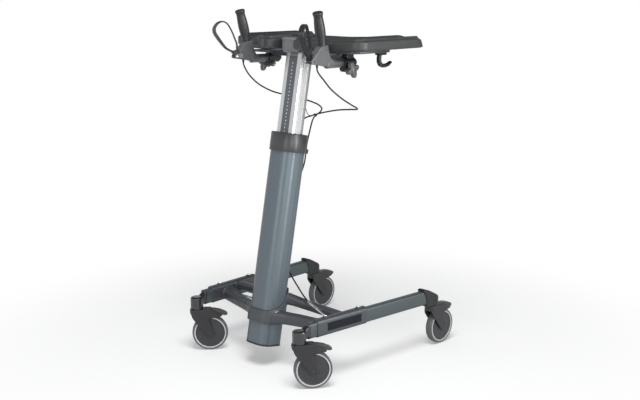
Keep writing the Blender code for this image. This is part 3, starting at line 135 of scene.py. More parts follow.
PAD_BRIDGE_SIDES = (0.13, 0.20)
PAD_DIP = (0.196, -0.124)
PAD_DIP_REACH = (0.032, 0.024)
PAD_DIP_DEPTH = 0.010
PAD_REAR_START = 0.170
PAD_REAR_REACH = 0.022
PAD_REAR_DEPTH = 0.012
PAD_SLANT_RANGE = (0.130, 0.192)
PAD_SLANT = 0.0175
PAD_SLANT_FOOT = 0.0185
CLAMP_ARM_Y = -0.064
CLAMP_ARM_START = 0.047
CLAMP_ARM_SIZE = (0.126, 0.026, 0.016)
CLAMP_ARM_SPOT = (0.110, 1.0435)
CLAMP_ARM_WAIST = 0.28
CLAMP_RIB_SIZE = (0.110, 0.007, 0.026)
CLAMP_RIB_SPOT = (0.115, 1.0370)
HOOK_GROWTH = 0.0024
CABLE_STEP = 0.005
CABLE_HALF = 0.0023
CABLE_GAP = 0.002
ADJUSTER_ENDS = (
    ("left", (0.1380, -0.1940, 0.2290), (0.2510, -0.2150, 0.2015)),
    ("right", (-0.1380, -0.1940, 0.1790), (-0.2530, -0.1895, 0.1755)),
)
TIE_SPOT = (0.026, -0.045, 0.8300)
TIE_LINE = (-0.55, -0.25, -0.60)
TIE_TAIL = ((0.0, -0.006, 0.001), (-0.014, -0.013, -0.002), (-0.022, -0.016, 0.004), (-0.032, -0.020, 0.034))
TIE_HALF_WIDTH = 0.0013
TIE_LOCK_SIZE = (0.0042, 0.0050, 0.0036)
TIE_LOCK_STEP = (0.003, -0.006, 0.001)
COLLAR_SCREW_SEAT = (0.0632, -0.2655, 0.1885)
COLLAR_SCREW_LINE = (0.93, -0.36, 0.06)
COLLAR_SCREW_SIZE = (0.0064, 0.0046)
LUG_SCREW_STEPS = (0.045, 0.030)
LUG_SCREW_RISE = 0.0038
LUG_SCREW_SIZE = (0.0046, 0.0026)
PLATE_SIZE = (0.0006, 0.150, 0.027)
PLATE_SPOT = (0.1450, 0.001)
PLATE_PROUD = 0.0002
PLATE_CORNER = 0.0018
SIDES = (("left", 1), ("right", -1))
CASTERS = (
    ("left_front", 1, (0.258, -0.350), 55.0),
    ("right_front", -1, (0.258, -0.350), 51.0),
    ("left_rear", 1, (0.298, 0.267), 90.0),
    ("right_rear", -1, (0.298, 0.267), 90.0),
)

# Stage: each lamp has its spot, its target, its width and height, and its watts
LAMPS = {
    "overhead_lamp": ((1.0, -0.9, 3.1), (0.0, 0.0, 0.2), (1.4, 1.4), 60.0),
    "key_lamp": ((3.4, -1.0, 1.7), (0.0, -0.1, 0.6), (2.4, 2.4), 64.0),
    "column_strip": ((2.9, 1.15, 1.1), (0.0, -0.2, 0.6), (0.6, 2.6), 90.0),
    "front_lamp": ((0.9, -3.6, 1.7), (0.0, -0.2, 0.7), (1.5, 2.2), 34.0),
}
DARK_CARDS = {
    "rear_card": ((1.75, 2.35, 1.2), (1.8, 3.0)),
    "far_card": ((-1.7, 1.7, 1.8), (2.6, 1.3)),
}
SURROUND_COLOUR = (0.97, 0.985, 1.0, 1.0)
SURROUND_STRENGTH = 0.36
OVERHEAD_COLOUR = (0.10, 0.10, 0.11, 1.0)
OVERHEAD_FROM = (0.28, 0.62)
FLOOR_LEVEL = -0.0004
FLOOR_RADIUS = 24.0
FLOOR_LIFT = 0.25
FLOOR_FADE = (0.50, 1.50)
CAMERA_SPOT = (2.5109, -2.5176, 1.2725)
CAMERA_TURN = (78.1193, 0.0593, 44.8767)
CAMERA_LENS = 58.394

# Sockets of the shader groups that aren't plain numbers
SOCKET_KINDS = {
    "Coordinates": "NodeSocketVector", "Normal": "NodeSocketVector", "Colour": "NodeSocketColor",
    "Worn": "NodeSocketColor",
}

# Finishes: drift is scale and amount, cloud is scale and spread, grain is scale, strength and depth, and the edge entry
# is the colour and amount of the lighter convex edges, part rubbed wear and part a painted highlight
PLAIN_FINISH = {
    "metallic": 0.0, "shine": 0.5, "wear_and_highlight": None, "turn": 0.0, "stretch": (1.0, 1.0, 1.0), "pebbled": False,
}
FINISHES = {
    "column_lacquer": {
        "colour": "lacquer", "roughness": 0.36, "metallic": 0.30, "turn": LEAN, "stretch": (1.0, 1.0, 0.06),
        "grain": (900.0, 0.10, 0.0002), "drift": (6.0, 0.05), "cloud": (20.0, 0.08),
    },
    "rail_lacquer": {
        "colour": "rail_lacquer", "roughness": 0.40, "metallic": 0.25, "stretch": (1.0, 0.08, 1.0),
        "grain": (900.0, 0.12, 0.0002), "drift": (6.0, 0.06), "cloud": (25.0, 0.10),
    },
    "cast_anthracite": {
        "colour": "casting", "roughness": 0.42, "metallic": 0.10, "wear_and_highlight": ((0.13, 0.14, 0.15), 0.5),
        "grain": (650.0, 0.30, 0.0004), "drift": (9.0, 0.10), "cloud": (40.0, 0.14),
    },
    "black_moulding": {
        "colour": "moulding", "roughness": 0.34, "shine": 0.35, "wear_and_highlight": ((0.07, 0.07, 0.075), 0.4),
        "grain": (1100.0, 0.22, 0.0003), "drift": (12.0, 0.08), "cloud": (45.0, 0.12),
    },
    "glossy_moulding": {
        "colour": "moulding", "roughness": 0.20, "shine": 0.8, "wear_and_highlight": ((0.07, 0.07, 0.075), 0.4),
        "grain": (1100.0, 0.10, 0.0003), "drift": (12.0, 0.08), "cloud": (45.0, 0.08),
    },
    "pedal_moulding": {
        "colour": "pedal", "roughness": 0.40, "shine": 0.4, "wear_and_highlight": ((0.12, 0.12, 0.125), 0.4),
        "grain": (1000.0, 0.25, 0.0003), "drift": (14.0, 0.10), "cloud": (45.0, 0.14),
    },
    "fork_moulding": {
        "colour": "fork", "roughness": 0.42, "shine": 0.4, "wear_and_highlight": ((0.11, 0.11, 0.115), 0.4),
        "grain": (1000.0, 0.25, 0.0003), "drift": (14.0, 0.10), "cloud": (45.0, 0.14),
    },
    "handle_moulding": {
        "colour": "handle", "roughness": 0.36, "wear_and_highlight": ((0.16, 0.17, 0.175), 0.4),
        "grain": (1000.0, 0.22, 0.0003), "drift": (14.0, 0.10), "cloud": (50.0, 0.12),
    },
    "cover_moulding": {
        "colour": "cover", "roughness": 0.38, "wear_and_highlight": ((0.22, 0.23, 0.235), 0.4),
        "grain": (1000.0, 0.2, 0.0003), "drift": (14.0, 0.10), "cloud": (50.0, 0.12),
    },
    "collar_moulding": {
        "colour": "collar", "roughness": 0.36, "wear_and_highlight": ((0.09, 0.09, 0.095), 0.4),
        "grain": (1100.0, 0.22, 0.0003), "drift": (12.0, 0.08), "cloud": (45.0, 0.12),
    },
    # The pad's edges get the strongest lightening: a painted highlight along its rims, with some wear.
    "pad_skin": {
        "colour": "pad", "roughness": 0.46, "shine": 0.45, "pebbled": True, "wear_and_highlight": ((0.13, 0.135, 0.14), 0.9),
        "grain": (520.0, 0.25, 0.0004), "drift": (7.0, 0.08), "cloud": (25.0, 0.12),
    },
    "soft_grip_rubber": {
        "colour": "grip", "roughness": 0.40,
        "grain": (1400.0, 0.30, 0.0003), "drift": (20.0, 0.10), "cloud": (60.0, 0.14),
    },
    "wheel_disc_plastic": {
        "colour": "disc", "roughness": 0.48, "shine": 0.4,
        "grain": (900.0, 0.2, 0.0003), "drift": (20.0, 0.08), "cloud": (60.0, 0.14),
    },
    "ring_plastic": {
        "colour": "ring", "roughness": 0.35,
        "grain": (900.0, 0.1, 0.0002), "drift": (30.0, 0.04), "cloud": (60.0, 0.08),
    },
    "grey_tyre_rubber": {
        "colour": "tyre", "roughness": 0.62,
        "grain": (700.0, 0.35, 0.0004), "drift": (25.0, 0.14), "cloud": (80.0, 0.16),
    },
    "drawn_aluminium": {
        "colour": "aluminium", "roughness": 0.32, "metallic": 0.80, "turn": LEAN, "stretch": (1.0, 1.0, 0.02),
        "grain": (600.0, 0.10, 0.0002), "drift": (10.0, 0.04), "cloud": (40.0, 0.10),
    },
    "polished_steel": {
        "colour": "steel", "roughness": 0.24, "metallic": 0.9,
        "grain": (900.0, 0.08, 0.0002), "drift": (40.0, 0.05), "cloud": (80.0, 0.10),
    },
    "scale_plastic": {
        "colour": "strip", "roughness": 0.42,
        "grain": (1200.0, 0.15, 0.0002), "drift": (10.0, 0.06), "cloud": (40.0, 0.1),
    },
    "dot_print": {
        "colour": "dot", "roughness": 0.45,
        "grain": (1500.0, 0.1, 0.0001), "drift": (60.0, 0.05), "cloud": (60.0, 0.08),
    },
    "cable_sheath": {
        "colour": "cable", "roughness": 0.38, "shine": 0.35,
        "grain": (1300.0, 0.2, 0.0002), "drift": (30.0, 0.08), "cloud": (60.0, 0.12),
    },
    "plain_label": {
        "colour": "label", "roughness": 0.30, "shine": 0.2,
        "grain": (1500.0, 0.06, 0.0001), "drift": (15.0, 0.06), "cloud": (30.0, 0.08),
    },
}


# Sizes and colours that a user may change


def colour_setting(name, description, default):
    return bpy.props.FloatVectorProperty(
        name=name, description=description, subtype="COLOR", size=3, min=0.0, max=1.0, default=default
    )


class WalkingTableSizes(bpy.types.PropertyGroup):
    """Sizes of the finished surfaces"""

    moulding_round: bpy.props.FloatProperty(
        name="Moulding Round", description="Voxel size that rounds the moulded pieces",
        default=0.0011, min=0.0006, max=0.003, unit="LENGTH",
    )
    casting_round: bpy.props.FloatProperty(
        name="Casting Round", description="Voxel size that rounds the cast yoke",
        default=0.0020, min=0.0015, max=0.004, unit="LENGTH",
    )
    pad_cell: bpy.props.FloatProperty(
        name="Pad Cell", description="Voxel size of the armrest pad",
        default=0.0027, min=0.002, max=0.008, unit="LENGTH",
    )
    pad_crown: bpy.props.FloatProperty(
        name="Pad Crown", description="Height of the crown on the pad's bridge",
        default=0.0015, min=0.0, max=0.006, unit="LENGTH",
    )
    pad_trough: bpy.props.FloatProperty(
        name="Pad Trough", description="Depth of the trough for each forearm",
        default=0.0060, min=0.0, max=0.012, unit="LENGTH",
    )
    dot_pitch: bpy.props.FloatProperty(
        name="Dot Pitch", description="Distance between two dots of the height scale",
        default=0.012, min=0.006, max=0.03, unit="LENGTH",
    )
    cable_radius: bpy.props.FloatProperty(
        name="Cable Radius", description="Radius of the brake cables",
        default=0.0026, min=0.001, max=0.004, unit="LENGTH",
    )


class WalkingTableColours(bpy.types.PropertyGroup):
    """Base colours of the finishes"""

    lacquer: colour_setting("Lacquer", "Blue-grey lacquer of the column", (0.100, 0.127, 0.145))
    rail_lacquer: colour_setting("Rail Lacquer", "Grey lacquer of the rails", (0.060, 0.079, 0.084))
    casting: colour_setting("Casting", "Anthracite of the cast yoke", (0.050, 0.056, 0.063))
    moulding: colour_setting("Moulding", "Black of the moulded plastic", (0.016, 0.017, 0.019))
    fork: colour_setting("Fork", "Dark grey of the caster forks", (0.022, 0.022, 0.024))
    pedal: colour_setting("Pedal", "Grey of the brake pedals", (0.050, 0.051, 0.053))
    handle: colour_setting("Handle", "Grey of the handle brackets and knobs", (0.096, 0.102, 0.105))
    cover: colour_setting("Cover", "Grey of the cover at the column's top", (0.140, 0.146, 0.150))
    collar: colour_setting("Collar", "Grey-black of the column's collar", (0.032, 0.033, 0.037))
    pad: colour_setting("Pad", "Dark grey skin of the armrest", (0.032, 0.034, 0.035))
    grip: colour_setting("Grip", "Rubber of the grips", (0.014, 0.015, 0.016))
    disc: colour_setting("Disc", "Grey of the wheel discs", (0.036, 0.037, 0.041))
    ring: colour_setting("Ring", "Light ring between disc and tyre", (0.54, 0.54, 0.55))
    tyre: colour_setting("Tyre", "Grey rubber of the tyres", (0.095, 0.098, 0.102))
    aluminium: colour_setting("Aluminium", "Bare aluminium of the inner column", (0.55, 0.56, 0.57))
    steel: colour_setting("Steel", "Bright screws and adjusters", (0.74, 0.74, 0.76))
    strip: colour_setting("Strip", "Height scale strip", (0.085, 0.095, 0.105))
    dot: colour_setting("Dot", "Dots of the height scale", (0.62, 0.64, 0.66))
    cable: colour_setting("Cable", "Sheath of the brake cables", (0.010, 0.010, 0.011))
    label: colour_setting("Label", "Plain plate on the sleeves", (0.004, 0.007, 0.015))
    floor: colour_setting("Floor", "Studio floor", (0.88, 0.88, 0.88))


def sizes():
    return bpy.context.scene.walking_table_sizes


def colours():
    return bpy.context.scene.walking_table_colours


# Selecting and shaping


def clear_selection():
    """Leaves edit mode and deselects everything."""
    if bpy.context.mode != "OBJECT":
        bpy.ops.object.mode_set(mode="OBJECT")
    bpy.ops.object.select_all(action="DESELECT")


def only(obj):
    """Leaves one object selected and active, in object mode."""
    clear_selection()
    obj.select_set(True)
    bpy.context.view_layer.objects.active = obj
    return obj


def start_edit(obj):
    only(obj)
    bpy.ops.object.mode_set(mode="EDIT")
    bpy.ops.mesh.select_mode(type="VERT")
    bpy.ops.mesh.select_all(action="SELECT")


def end_edit():
    bpy.ops.object.mode_set(mode="OBJECT")


def pick(obj, kind, wanted):
    """Selects the verts, edges or faces of a piece in edit mode that pass a test."""
    bpy.ops.mesh.select_mode(type=kind)
    bpy.ops.mesh.select_all(action="DESELECT")
    mesh = bmesh.from_edit_mesh(obj.data)
    for part in {"VERT": mesh.verts, "EDGE": mesh.edges, "FACE": mesh.faces}[kind]:
        if wanted(part):
            part.select_set(True)
    bmesh.update_edit_mesh(obj.data)


def named(name):
    """Names the primitive that was just added."""
    piece = bpy.context.active_object
    piece.name = name
    piece.data.name = name
    return piece


def settle(piece, place=None):
    """Puts a piece in its place and applies it, so that the object sits at the origin."""
    if place is not None:
        piece.matrix_world = place @ piece.matrix_world
    only(piece)
    bpy.ops.object.transform_apply(location=True, rotation=True, scale=True)
    return piece


def face_out(piece):
    """Merges doubles, then turns all faces outwards."""
    start_edit(piece)
    bpy.ops.mesh.remove_doubles(threshold=0.00001)
    bpy.ops.mesh.select_all(action="SELECT")
    bpy.ops.mesh.normals_make_consistent(inside=False)
    end_edit()
    return piece


def smooth(piece, angle=35.0):
    only(piece)
    bpy.ops.object.shade_smooth_by_angle(angle=math.radians(angle))
    return piece


def apply_all(piece):
    only(piece)
    for modifier in list(piece.modifiers):
        bpy.ops.object.modifier_apply(modifier=modifier.name)
    return piece


def bevelled(piece, width, segments=2, angle=40.0):
    """Rounds the sharp edges by a small width."""
    modifier = piece.modifiers.new("edge_round", "BEVEL")
    modifier.width = width
    modifier.segments = segments
    modifier.limit_method = "ANGLE"
    modifier.angle_limit = math.radians(angle)
    return apply_all(piece)


def eased(piece, passes):
    """Smooths a piece's surface a little with each pass."""
    modifier = piece.modifiers.new("ease", "SMOOTH")
    modifier.factor = 0.5
    modifier.iterations = passes
    return apply_all(piece)


def moulded(piece, cell, passes=5):
    """Gives a piece the soft edges of a moulding: a voxel skin, eased."""
    modifier = piece.modifiers.new("skin", "REMESH")
    modifier.mode = "VOXEL"
    modifier.voxel_size = cell
    modifier.use_smooth_shade = True
    return eased(apply_all(piece), passes)


def swollen(piece, amount):
    """Moves a piece's surface out by a small amount."""
    modifier = piece.modifiers.new("swell", "DISPLACE")
    modifier.strength = amount
    modifier.mid_level = 0.0
    return apply_all(piece)


def copy_of(node, name):
    """A merged copy of a CAD node, with flat areas joined, to be finished further."""
    piece = bpy.data.objects.new(name, NODES[node].data.copy())
    bpy.context.scene.collection.objects.link(piece)
    piece.data.name = name
    piece.data.materials.clear()
    only(piece)
    bpy.ops.mesh.customdata_custom_splitnormals_clear()
    start_edit(piece)
    bpy.ops.mesh.remove_doubles(threshold=0.00001)
    bpy.ops.mesh.select_all(action="SELECT")
    bpy.ops.mesh.dissolve_limited(angle_limit=math.radians(0.5))
    end_edit()
    return piece


def moulding(node, name, cell=1.0, passes=5, angle=50):
    """A copy of a CAD node as a moulding, with its cell as a share of the usual one."""
    return smooth(moulded(copy_of(node, name), sizes().moulding_round * cell, passes), angle)


def block(name, size, spot=(0.0, 0.0, 0.0)):
    """A cube drawn out to (x, y, z) size about a spot."""
    clear_selection()
    bpy.ops.mesh.primitive_cube_add(size=1.0, scale=size, location=spot)
    return settle(named(name))


def turned(name, profile, place, steps=48):
    """A solid of revolution: a filled circle drawn out ring by ring through (radius, height) points."""
    clear_selection()
    radius, height = profile[0]
    bpy.ops.mesh.primitive_circle_add(vertices=steps, radius=radius, fill_type="NGON", location=(0, 0, height))
    piece = settle(named(name))
    start_edit(piece)
    for (r0, z0), (r1, z1) in zip(profile, profile[1:]):
        bpy.ops.mesh.extrude_region_move(TRANSFORM_OT_translate={"value": (0, 0, z1 - z0)})
        bpy.ops.transform.resize(value=(r1 / r0, r1 / r0, 1), center_override=(0, 0, z1))
    end_edit()
    return settle(face_out(piece), place)


def spun(name, outline, place, steps=64):
    """A ring: a closed outline of (radius, height) points spun round Z."""
    clear_selection()
    bpy.ops.mesh.primitive_circle_add(vertices=len(outline), radius=0.01, fill_type="NOTHING")
    piece = named(name)
    for vert, (radius, height) in zip(piece.data.vertices, outline):
        vert.co = (radius, 0, height)
    start_edit(piece)
    bpy.ops.mesh.spin(steps=steps, angle=math.tau, center=(0, 0, 0), axis=(0, 0, 1))
    return settle(face_out(piece), place)


def bar(name, size, corners, place, steps=8):
    """A bar along Z about its place: a cube of (x, y, z) size with its front and rear long edges rounded."""
    piece = block(name, size)
    for corner, side in zip(corners, (-1, 1)):
        start_edit(piece)

        def long_edge(edge):
            low, high = (vert.co for vert in edge.verts)
            upright = abs(low.z - high.z) > 0.9 * size[2]
            return upright and abs(low.x) > 0.499 * size[0] and low.y * side > 0.499 * size[1]

        pick(piece, "EDGE", long_edge)
        bpy.ops.mesh.bevel(offset=corner, segments=steps, affect="EDGES")
        end_edit()
    return settle(piece, place)


def drawn_curve(name, points):
    """A curve of straight stretches through the points."""
    clear_selection()
    bpy.ops.curve.primitive_nurbs_path_add()
    curve = named(name)
    curve.data.splines.clear()
    spline = curve.data.splines.new("POLY")
    spline.points.add(len(points) - 1)
    for spot, point in zip(spline.points, points):
        spot.co = (*point, 1.0)
    curve.matrix_world = Matrix.Identity(4)
    return curve


def tube(name, points, radius):
    """A round wire along a smooth curve through the points, as a mesh."""
    piece = drawn_curve(name, even_route(points, CABLE_STEP))
    piece.data.bevel_depth = radius
    piece.data.bevel_resolution = 3
    piece.data.use_fill_caps = True
    only(piece)
    bpy.ops.object.convert(target="MESH")
    return smooth(face_out(piece), 50)


def even_route(points, spacing, first=0, last=None):
    """Even points on a Catmull-Rom curve through the given ones, from the first index to the last."""
    spots = [Vector(p) for p in points]
    last = len(spots) - 1 if last is None else last
    spots = [2 * spots[0] - spots[1]] + spots + [2 * spots[-1] - spots[-2]]
    fine = []
    for a, b, c, d in list(zip(spots, spots[1:], spots[2:], spots[3:]))[first:last]:
        for i in range(24):
            t = i / 24
            bend = (2 * a - 5 * b + 4 * c - d) * t**2 + (3 * b - a - 3 * c + d) * t**3
            fine.append(0.5 * (2 * b + (c - a) * t + bend))
    fine.append(spots[last + 1])
    lengths = [0.0]
    for a, b in zip(fine, fine[1:]):
        lengths.append(lengths[-1] + (b - a).length)
    count = max(2, round(lengths[-1] / spacing))
    even = []
    k = 0
    for i in range(count + 1):
        want = lengths[-1] * i / count
        while k < len(lengths) - 2 and lengths[k + 1] < want:
            k += 1
        share = (want - lengths[k]) / max(lengths[k + 1] - lengths[k], 1e-9)
        even.append(fine[k].lerp(fine[k + 1], min(share, 1.0)))
    return even


def join(target, *others):
    only(target)
    for other in others:
        other.select_set(True)
    bpy.ops.object.join()
    return target


def cut(piece, cutter):
    """Takes the cutter's shape out of a piece and removes the cutter."""
    modifier = piece.modifiers.new("cut", "BOOLEAN")
    modifier.operation = "DIFFERENCE"
    modifier.solver = "MANIFOLD"
    modifier.object = cutter
    apply_all(piece)
    bpy.data.objects.remove(cutter, do_unlink=True)
    return piece


def paint(piece, look):
    """Gives a piece its finish alone."""
    piece.data.materials.clear()
    piece.data.materials.append(finish(look))


def dress(piece, look, slot, body, *nodes):
    """Gives a piece its finish, the body that it rides on and the nodes that it stands for. The slot is not used."""
    paint(piece, look)
    if body:
        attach(piece, body)
    if nodes:
        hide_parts(*nodes)
    return piece


# Frames of the leaning and turned pieces


def column_place():
    """Z up the leaning column, Y to its rear, the origin on the floor."""
    return Matrix.Translation((0, COLUMN_FOOT_Y, 0)) @ Matrix.Rotation(math.radians(-LEAN), 4, "X")


def rail_place(side):
    """Y along the rail to the rear, Z up, the origin at its front end and mid height."""
    front = Vector((side * RAIL_FRONT[0], RAIL_FRONT[1], RAIL_MIDDLE_Z))
    rear = Vector((side * RAIL_REAR[0], RAIL_REAR[1], RAIL_MIDDLE_Z))
    along = (rear - front).normalized()
    return Matrix.Translation(front) @ Matrix.Rotation(math.atan2(-along.x, along.y), 4, "Z")


def rail_length():
    return math.hypot(RAIL_REAR[0] - RAIL_FRONT[0], RAIL_REAR[1] - RAIL_FRONT[1])


def lying(place, middle):
    """Lays a bar made along Z down along the place's Y, about a middle point."""
    return place @ Matrix.Translation(middle) @ Matrix.Rotation(math.radians(-90), 4, "X")


def caster_place(side, stem, turn):
    """Z up a caster's stem, X towards its trailing wheel, the origin on the floor."""
    return Matrix.Translation((side * stem[0], stem[1], 0)) @ Matrix.Rotation(math.radians(turn), 4, "Z")


def wheel_place(side, stem, turn):
    """Z along a wheel's axle, the origin at its middle."""
    axle = Matrix.Translation((TRAIL, 0, WHEEL_RADIUS))
    return caster_place(side, stem, turn) @ axle @ Matrix.Rotation(math.radians(-90), 4, "X")


def pointing(start, direction):
    """Z along a direction, the origin at the start."""
    turn = Vector((0, 0, 1)).rotation_difference(Vector(direction).normalized()).to_matrix().to_4x4()
    return Matrix.Translation(start) @ turn


def grip_line(side):
    """A grip's foot and the direction that it leans in."""
    base = Vector((side * HANDLE_X, GRIP_BASE[0], GRIP_BASE[1]))
    lean = math.radians(GRIP_LEAN)
    return base, Vector((side * GRIP_SPLAY, -math.sin(lean), math.cos(lean))).normalized()


def lever_place(side):
    """X along a lever's pin, Z up, the origin at its pivot."""
    pivot = (side * LEVER_PIVOT[0], LEVER_PIVOT[1], LEVER_PIVOT[2])
    return Matrix.Translation(pivot) @ Matrix.Rotation(math.radians(side * LEVER_TURN), 4, "Z")


# Shader nodes


def add_node(tree, kind, inputs=None, **settings):
    """Adds a shader node with its settings. Each input takes a value or another node's output."""
    node = tree.nodes.new("ShaderNode" + kind)
    for key, value in settings.items():
        setattr(node, key, value)
    for key, value in (inputs or {}).items():
        if isinstance(value, bpy.types.NodeSocket):
            tree.links.new(value, node.inputs[key])
        else:
            node.inputs[key].default_value = value
    return node


def math_of(tree, operation, *values, **settings):
    """The result of a Math node on values or other nodes' outputs."""
    return add_node(tree, "Math", dict(enumerate(values)), operation=operation, **settings).outputs[0]


def ramp_of(tree, value, start, end, interpolation="LINEAR"):
    """Rises from 0 to 1 while a value goes from start to end."""
    inputs = {"Value": value, "From Min": start, "From Max": end}
    return add_node(tree, "MapRange", inputs, interpolation_type=interpolation).outputs["Result"]


def mixed_shader(tree, share, first, second):
    return add_node(tree, "MixShader", {0: share, 1: first.outputs[0], 2: second.outputs[0]})


# Shader groups that several finishes share


def shared_group(name, inputs, output, build):
    """A group with named sockets, made when the first finish asks for it. Build gives what it puts out."""
    group = bpy.data.node_groups.get(name)
    if group:
        return group
    group = bpy.data.node_groups.new(name, "ShaderNodeTree")
    for label, value in inputs.items():
        kind = SOCKET_KINDS.get(label, "NodeSocketFloat")
        socket = group.interface.new_socket(name=label, in_out="INPUT", socket_type=kind)
        if value is not None:
            socket.default_value = value
    kind = SOCKET_KINDS.get(output, "NodeSocketFloat")
    group.interface.new_socket(name=output, in_out="OUTPUT", socket_type=kind)
    given = group.nodes.new("NodeGroupInput").outputs
    group.links.new(build(group, given), group.nodes.new("NodeGroupOutput").inputs[output])
    return group


def noise_of(tree, given, detail, roughness=0.5):
    inputs = {"Vector": given["Coordinates"], "Scale": given["Scale"], "Detail": detail, "Roughness": roughness}
    return add_node(tree, "TexNoise", inputs).outputs["Fac"]


def bumped(tree, given, height, **settings):
    inputs = {"Height": height, "Strength": given["Strength"], "Distance": given["Depth"]}
    return add_node(tree, "Bump", inputs, **settings).outputs["Normal"]


def fine_grain():
    """Small even bumps, such as the texture of a moulding or a lacquer."""

    def build(tree, given):
        return bumped(tree, given, noise_of(tree, given, 3.0, 0.6))

    inputs = {"Coordinates": None, "Scale": 900.0, "Strength": 0.2, "Depth": 0.0003}
    return shared_group("fine_grain", inputs, "Normal", build)


def pebbled_skin():
    """The leather-like pebbles of a foam skin, in cells with soft valleys."""

    def build(tree, given):
        inputs = {"Vector": given["Coordinates"], "Scale": given["Scale"]}
        cells = add_node(tree, "TexVoronoi", inputs, feature="SMOOTH_F1")
        cells.inputs["Smoothness"].default_value = 0.6
        return bumped(tree, given, cells.outputs["Distance"], invert=True)

    inputs = {"Coordinates": None, "Scale": 480.0, "Strength": 0.3, "Depth": 0.0004}
    return shared_group("pebbled_skin", inputs, "Normal", build)


def tone_drift():
    """Slow change of tone over a surface, a share above and below its colour."""

    def build(tree, given):
        centred = math_of(tree, "SUBTRACT", noise_of(tree, given, 3.0), 0.5)
        spread = math_of(tree, "MULTIPLY", centred, given["Amount"])
        share = math_of(tree, "MULTIPLY_ADD", spread, 4.0, 1.0)
        return add_node(tree, "VectorMath", {0: given["Colour"], "Scale": share}, operation="SCALE").outputs[0]

    inputs = {"Coordinates": None, "Colour": None, "Scale": 8.0, "Amount": 0.1}
    return shared_group("tone_drift", inputs, "Colour", build)


def gloss_cloud():
    """Slow change of roughness about its middle."""

    def build(tree, given):
        centred = math_of(tree, "SUBTRACT", noise_of(tree, given, 4.0), 0.5)
        return math_of(tree, "MULTIPLY_ADD", centred, given["Spread"], given["Middle"], use_clamp=True)

    inputs = {"Coordinates": None, "Scale": 30.0, "Middle": 0.4, "Spread": 0.1}
    return shared_group("gloss_cloud", inputs, "Roughness", build)


def edge_wear_and_highlight():
    """Lighter tone on convex edges, from how far the surface stands out: part rubbed wear, part a painted highlight
    where the edges would catch the light.
    """

    def build(tree, given):
        rise = ramp_of(tree, add_node(tree, "NewGeometry").outputs["Pointiness"], 0.515, 0.60)
        broken = math_of(tree, "MULTIPLY", rise, noise_of(tree, given, 4.0))
        mask = math_of(tree, "MULTIPLY", broken, given["Amount"])
        inputs = {0: mask, 6: given["Colour"], 7: given["Worn"]}
        return add_node(tree, "Mix", inputs, data_type="RGBA").outputs[2]

    inputs = {"Coordinates": None, "Scale": 60.0, "Colour": None, "Worn": None, "Amount": 0.5}
    return shared_group("edge_wear_and_highlight", inputs, "Colour", build)


# Finishes


def finish(name):
    """A Principled finish whose colour, roughness and bump all change over the surface."""
    found = bpy.data.materials.get(name)
    if found:
        return found
    look = {**PLAIN_FINISH, **FINISHES[name]}
    colour = (*getattr(colours(), look["colour"]), 1.0)
    material = bpy.data.materials.new(name)
    material.use_nodes = True
    material.diffuse_color = colour
    tree = material.node_tree
    shader = tree.nodes["Principled BSDF"]
    shader.inputs["Metallic"].default_value = look["metallic"]
    shader.inputs["Specular IOR Level"].default_value = look["shine"]
    place = add_node(tree, "TexCoord").outputs["Object"]
    turn = (math.radians(look["turn"]), 0.0, 0.0)
    upright = add_node(tree, "Mapping", {"Vector": place, "Rotation": turn}).outputs["Vector"]
    drawn_out = add_node(tree, "Mapping", {"Vector": upright, "Scale": look["stretch"]}).outputs["Vector"]

    def add_group(group, **values):
        return add_node(tree, "Group", {"Coordinates": drawn_out, **values}, node_tree=group).outputs[0]

    scale, amount = look["drift"]
    tone = add_group(tone_drift(), Scale=scale, Amount=amount, Colour=colour)
    # Convex edges are lightened: part rubbed wear, part a painted highlight.
    if look["wear_and_highlight"]:
        wear_and_highlight, amount = look["wear_and_highlight"]
        tone = add_group(edge_wear_and_highlight(), Amount=amount, Worn=(*wear_and_highlight, 1.0), Colour=tone)
    tree.links.new(tone, shader.inputs["Base Color"])
    scale, spread = look["cloud"]
    gloss = add_group(gloss_cloud(), Scale=scale, Middle=look["roughness"], Spread=spread)
    tree.links.new(gloss, shader.inputs["Roughness"])
    scale, strength, depth = look["grain"]
    relief = pebbled_skin() if look["pebbled"] else fine_grain()
    tree.links.new(add_group(relief, Scale=scale, Strength=strength, Depth=depth), shader.inputs["Normal"])
    return material


# Stage


def seen_rays(tree):
    """One where the surface is seen: by the camera, in a reflection or through glass."""
    rays = add_node(tree, "LightPath").outputs
    first = math_of(tree, "MAXIMUM", rays["Is Camera Ray"], rays["Is Glossy Ray"])
    return math_of(tree, "MAXIMUM", first, rays["Is Transmission Ray"])


def world_light():
    """Pale surround: white to the camera and at the horizon of reflections, dark overhead in them."""
    world = bpy.data.worlds.new("studio_surround")
    bpy.context.scene.world = world
    world.use_nodes = True
    tree = world.node_tree
    soft = tree.nodes["Background"]
    soft.inputs["Color"].default_value = SURROUND_COLOUR
    soft.inputs["Strength"].default_value = SURROUND_STRENGTH
    white = add_node(tree, "Background", {"Color": (1.0, 1.0, 1.0, 1.0), "Strength": 1.0})
    above = add_node(tree, "Background", {"Color": OVERHEAD_COLOUR, "Strength": 1.0})
    place = add_node(tree, "TexCoord").outputs["Generated"]
    height = add_node(tree, "SeparateXYZ", {0: place}).outputs["Z"]
    rise = ramp_of(tree, height, *OVERHEAD_FROM, "SMOOTHSTEP")
    reflected = math_of(tree, "MULTIPLY", rise, add_node(tree, "LightPath").outputs["Is Glossy Ray"])
    backdrop = mixed_shader(tree, reflected, white, above)
    surround = mixed_shader(tree, seen_rays(tree), soft, backdrop)
    tree.links.new(surround.outputs[0], tree.nodes["World Output"].inputs["Surface"])


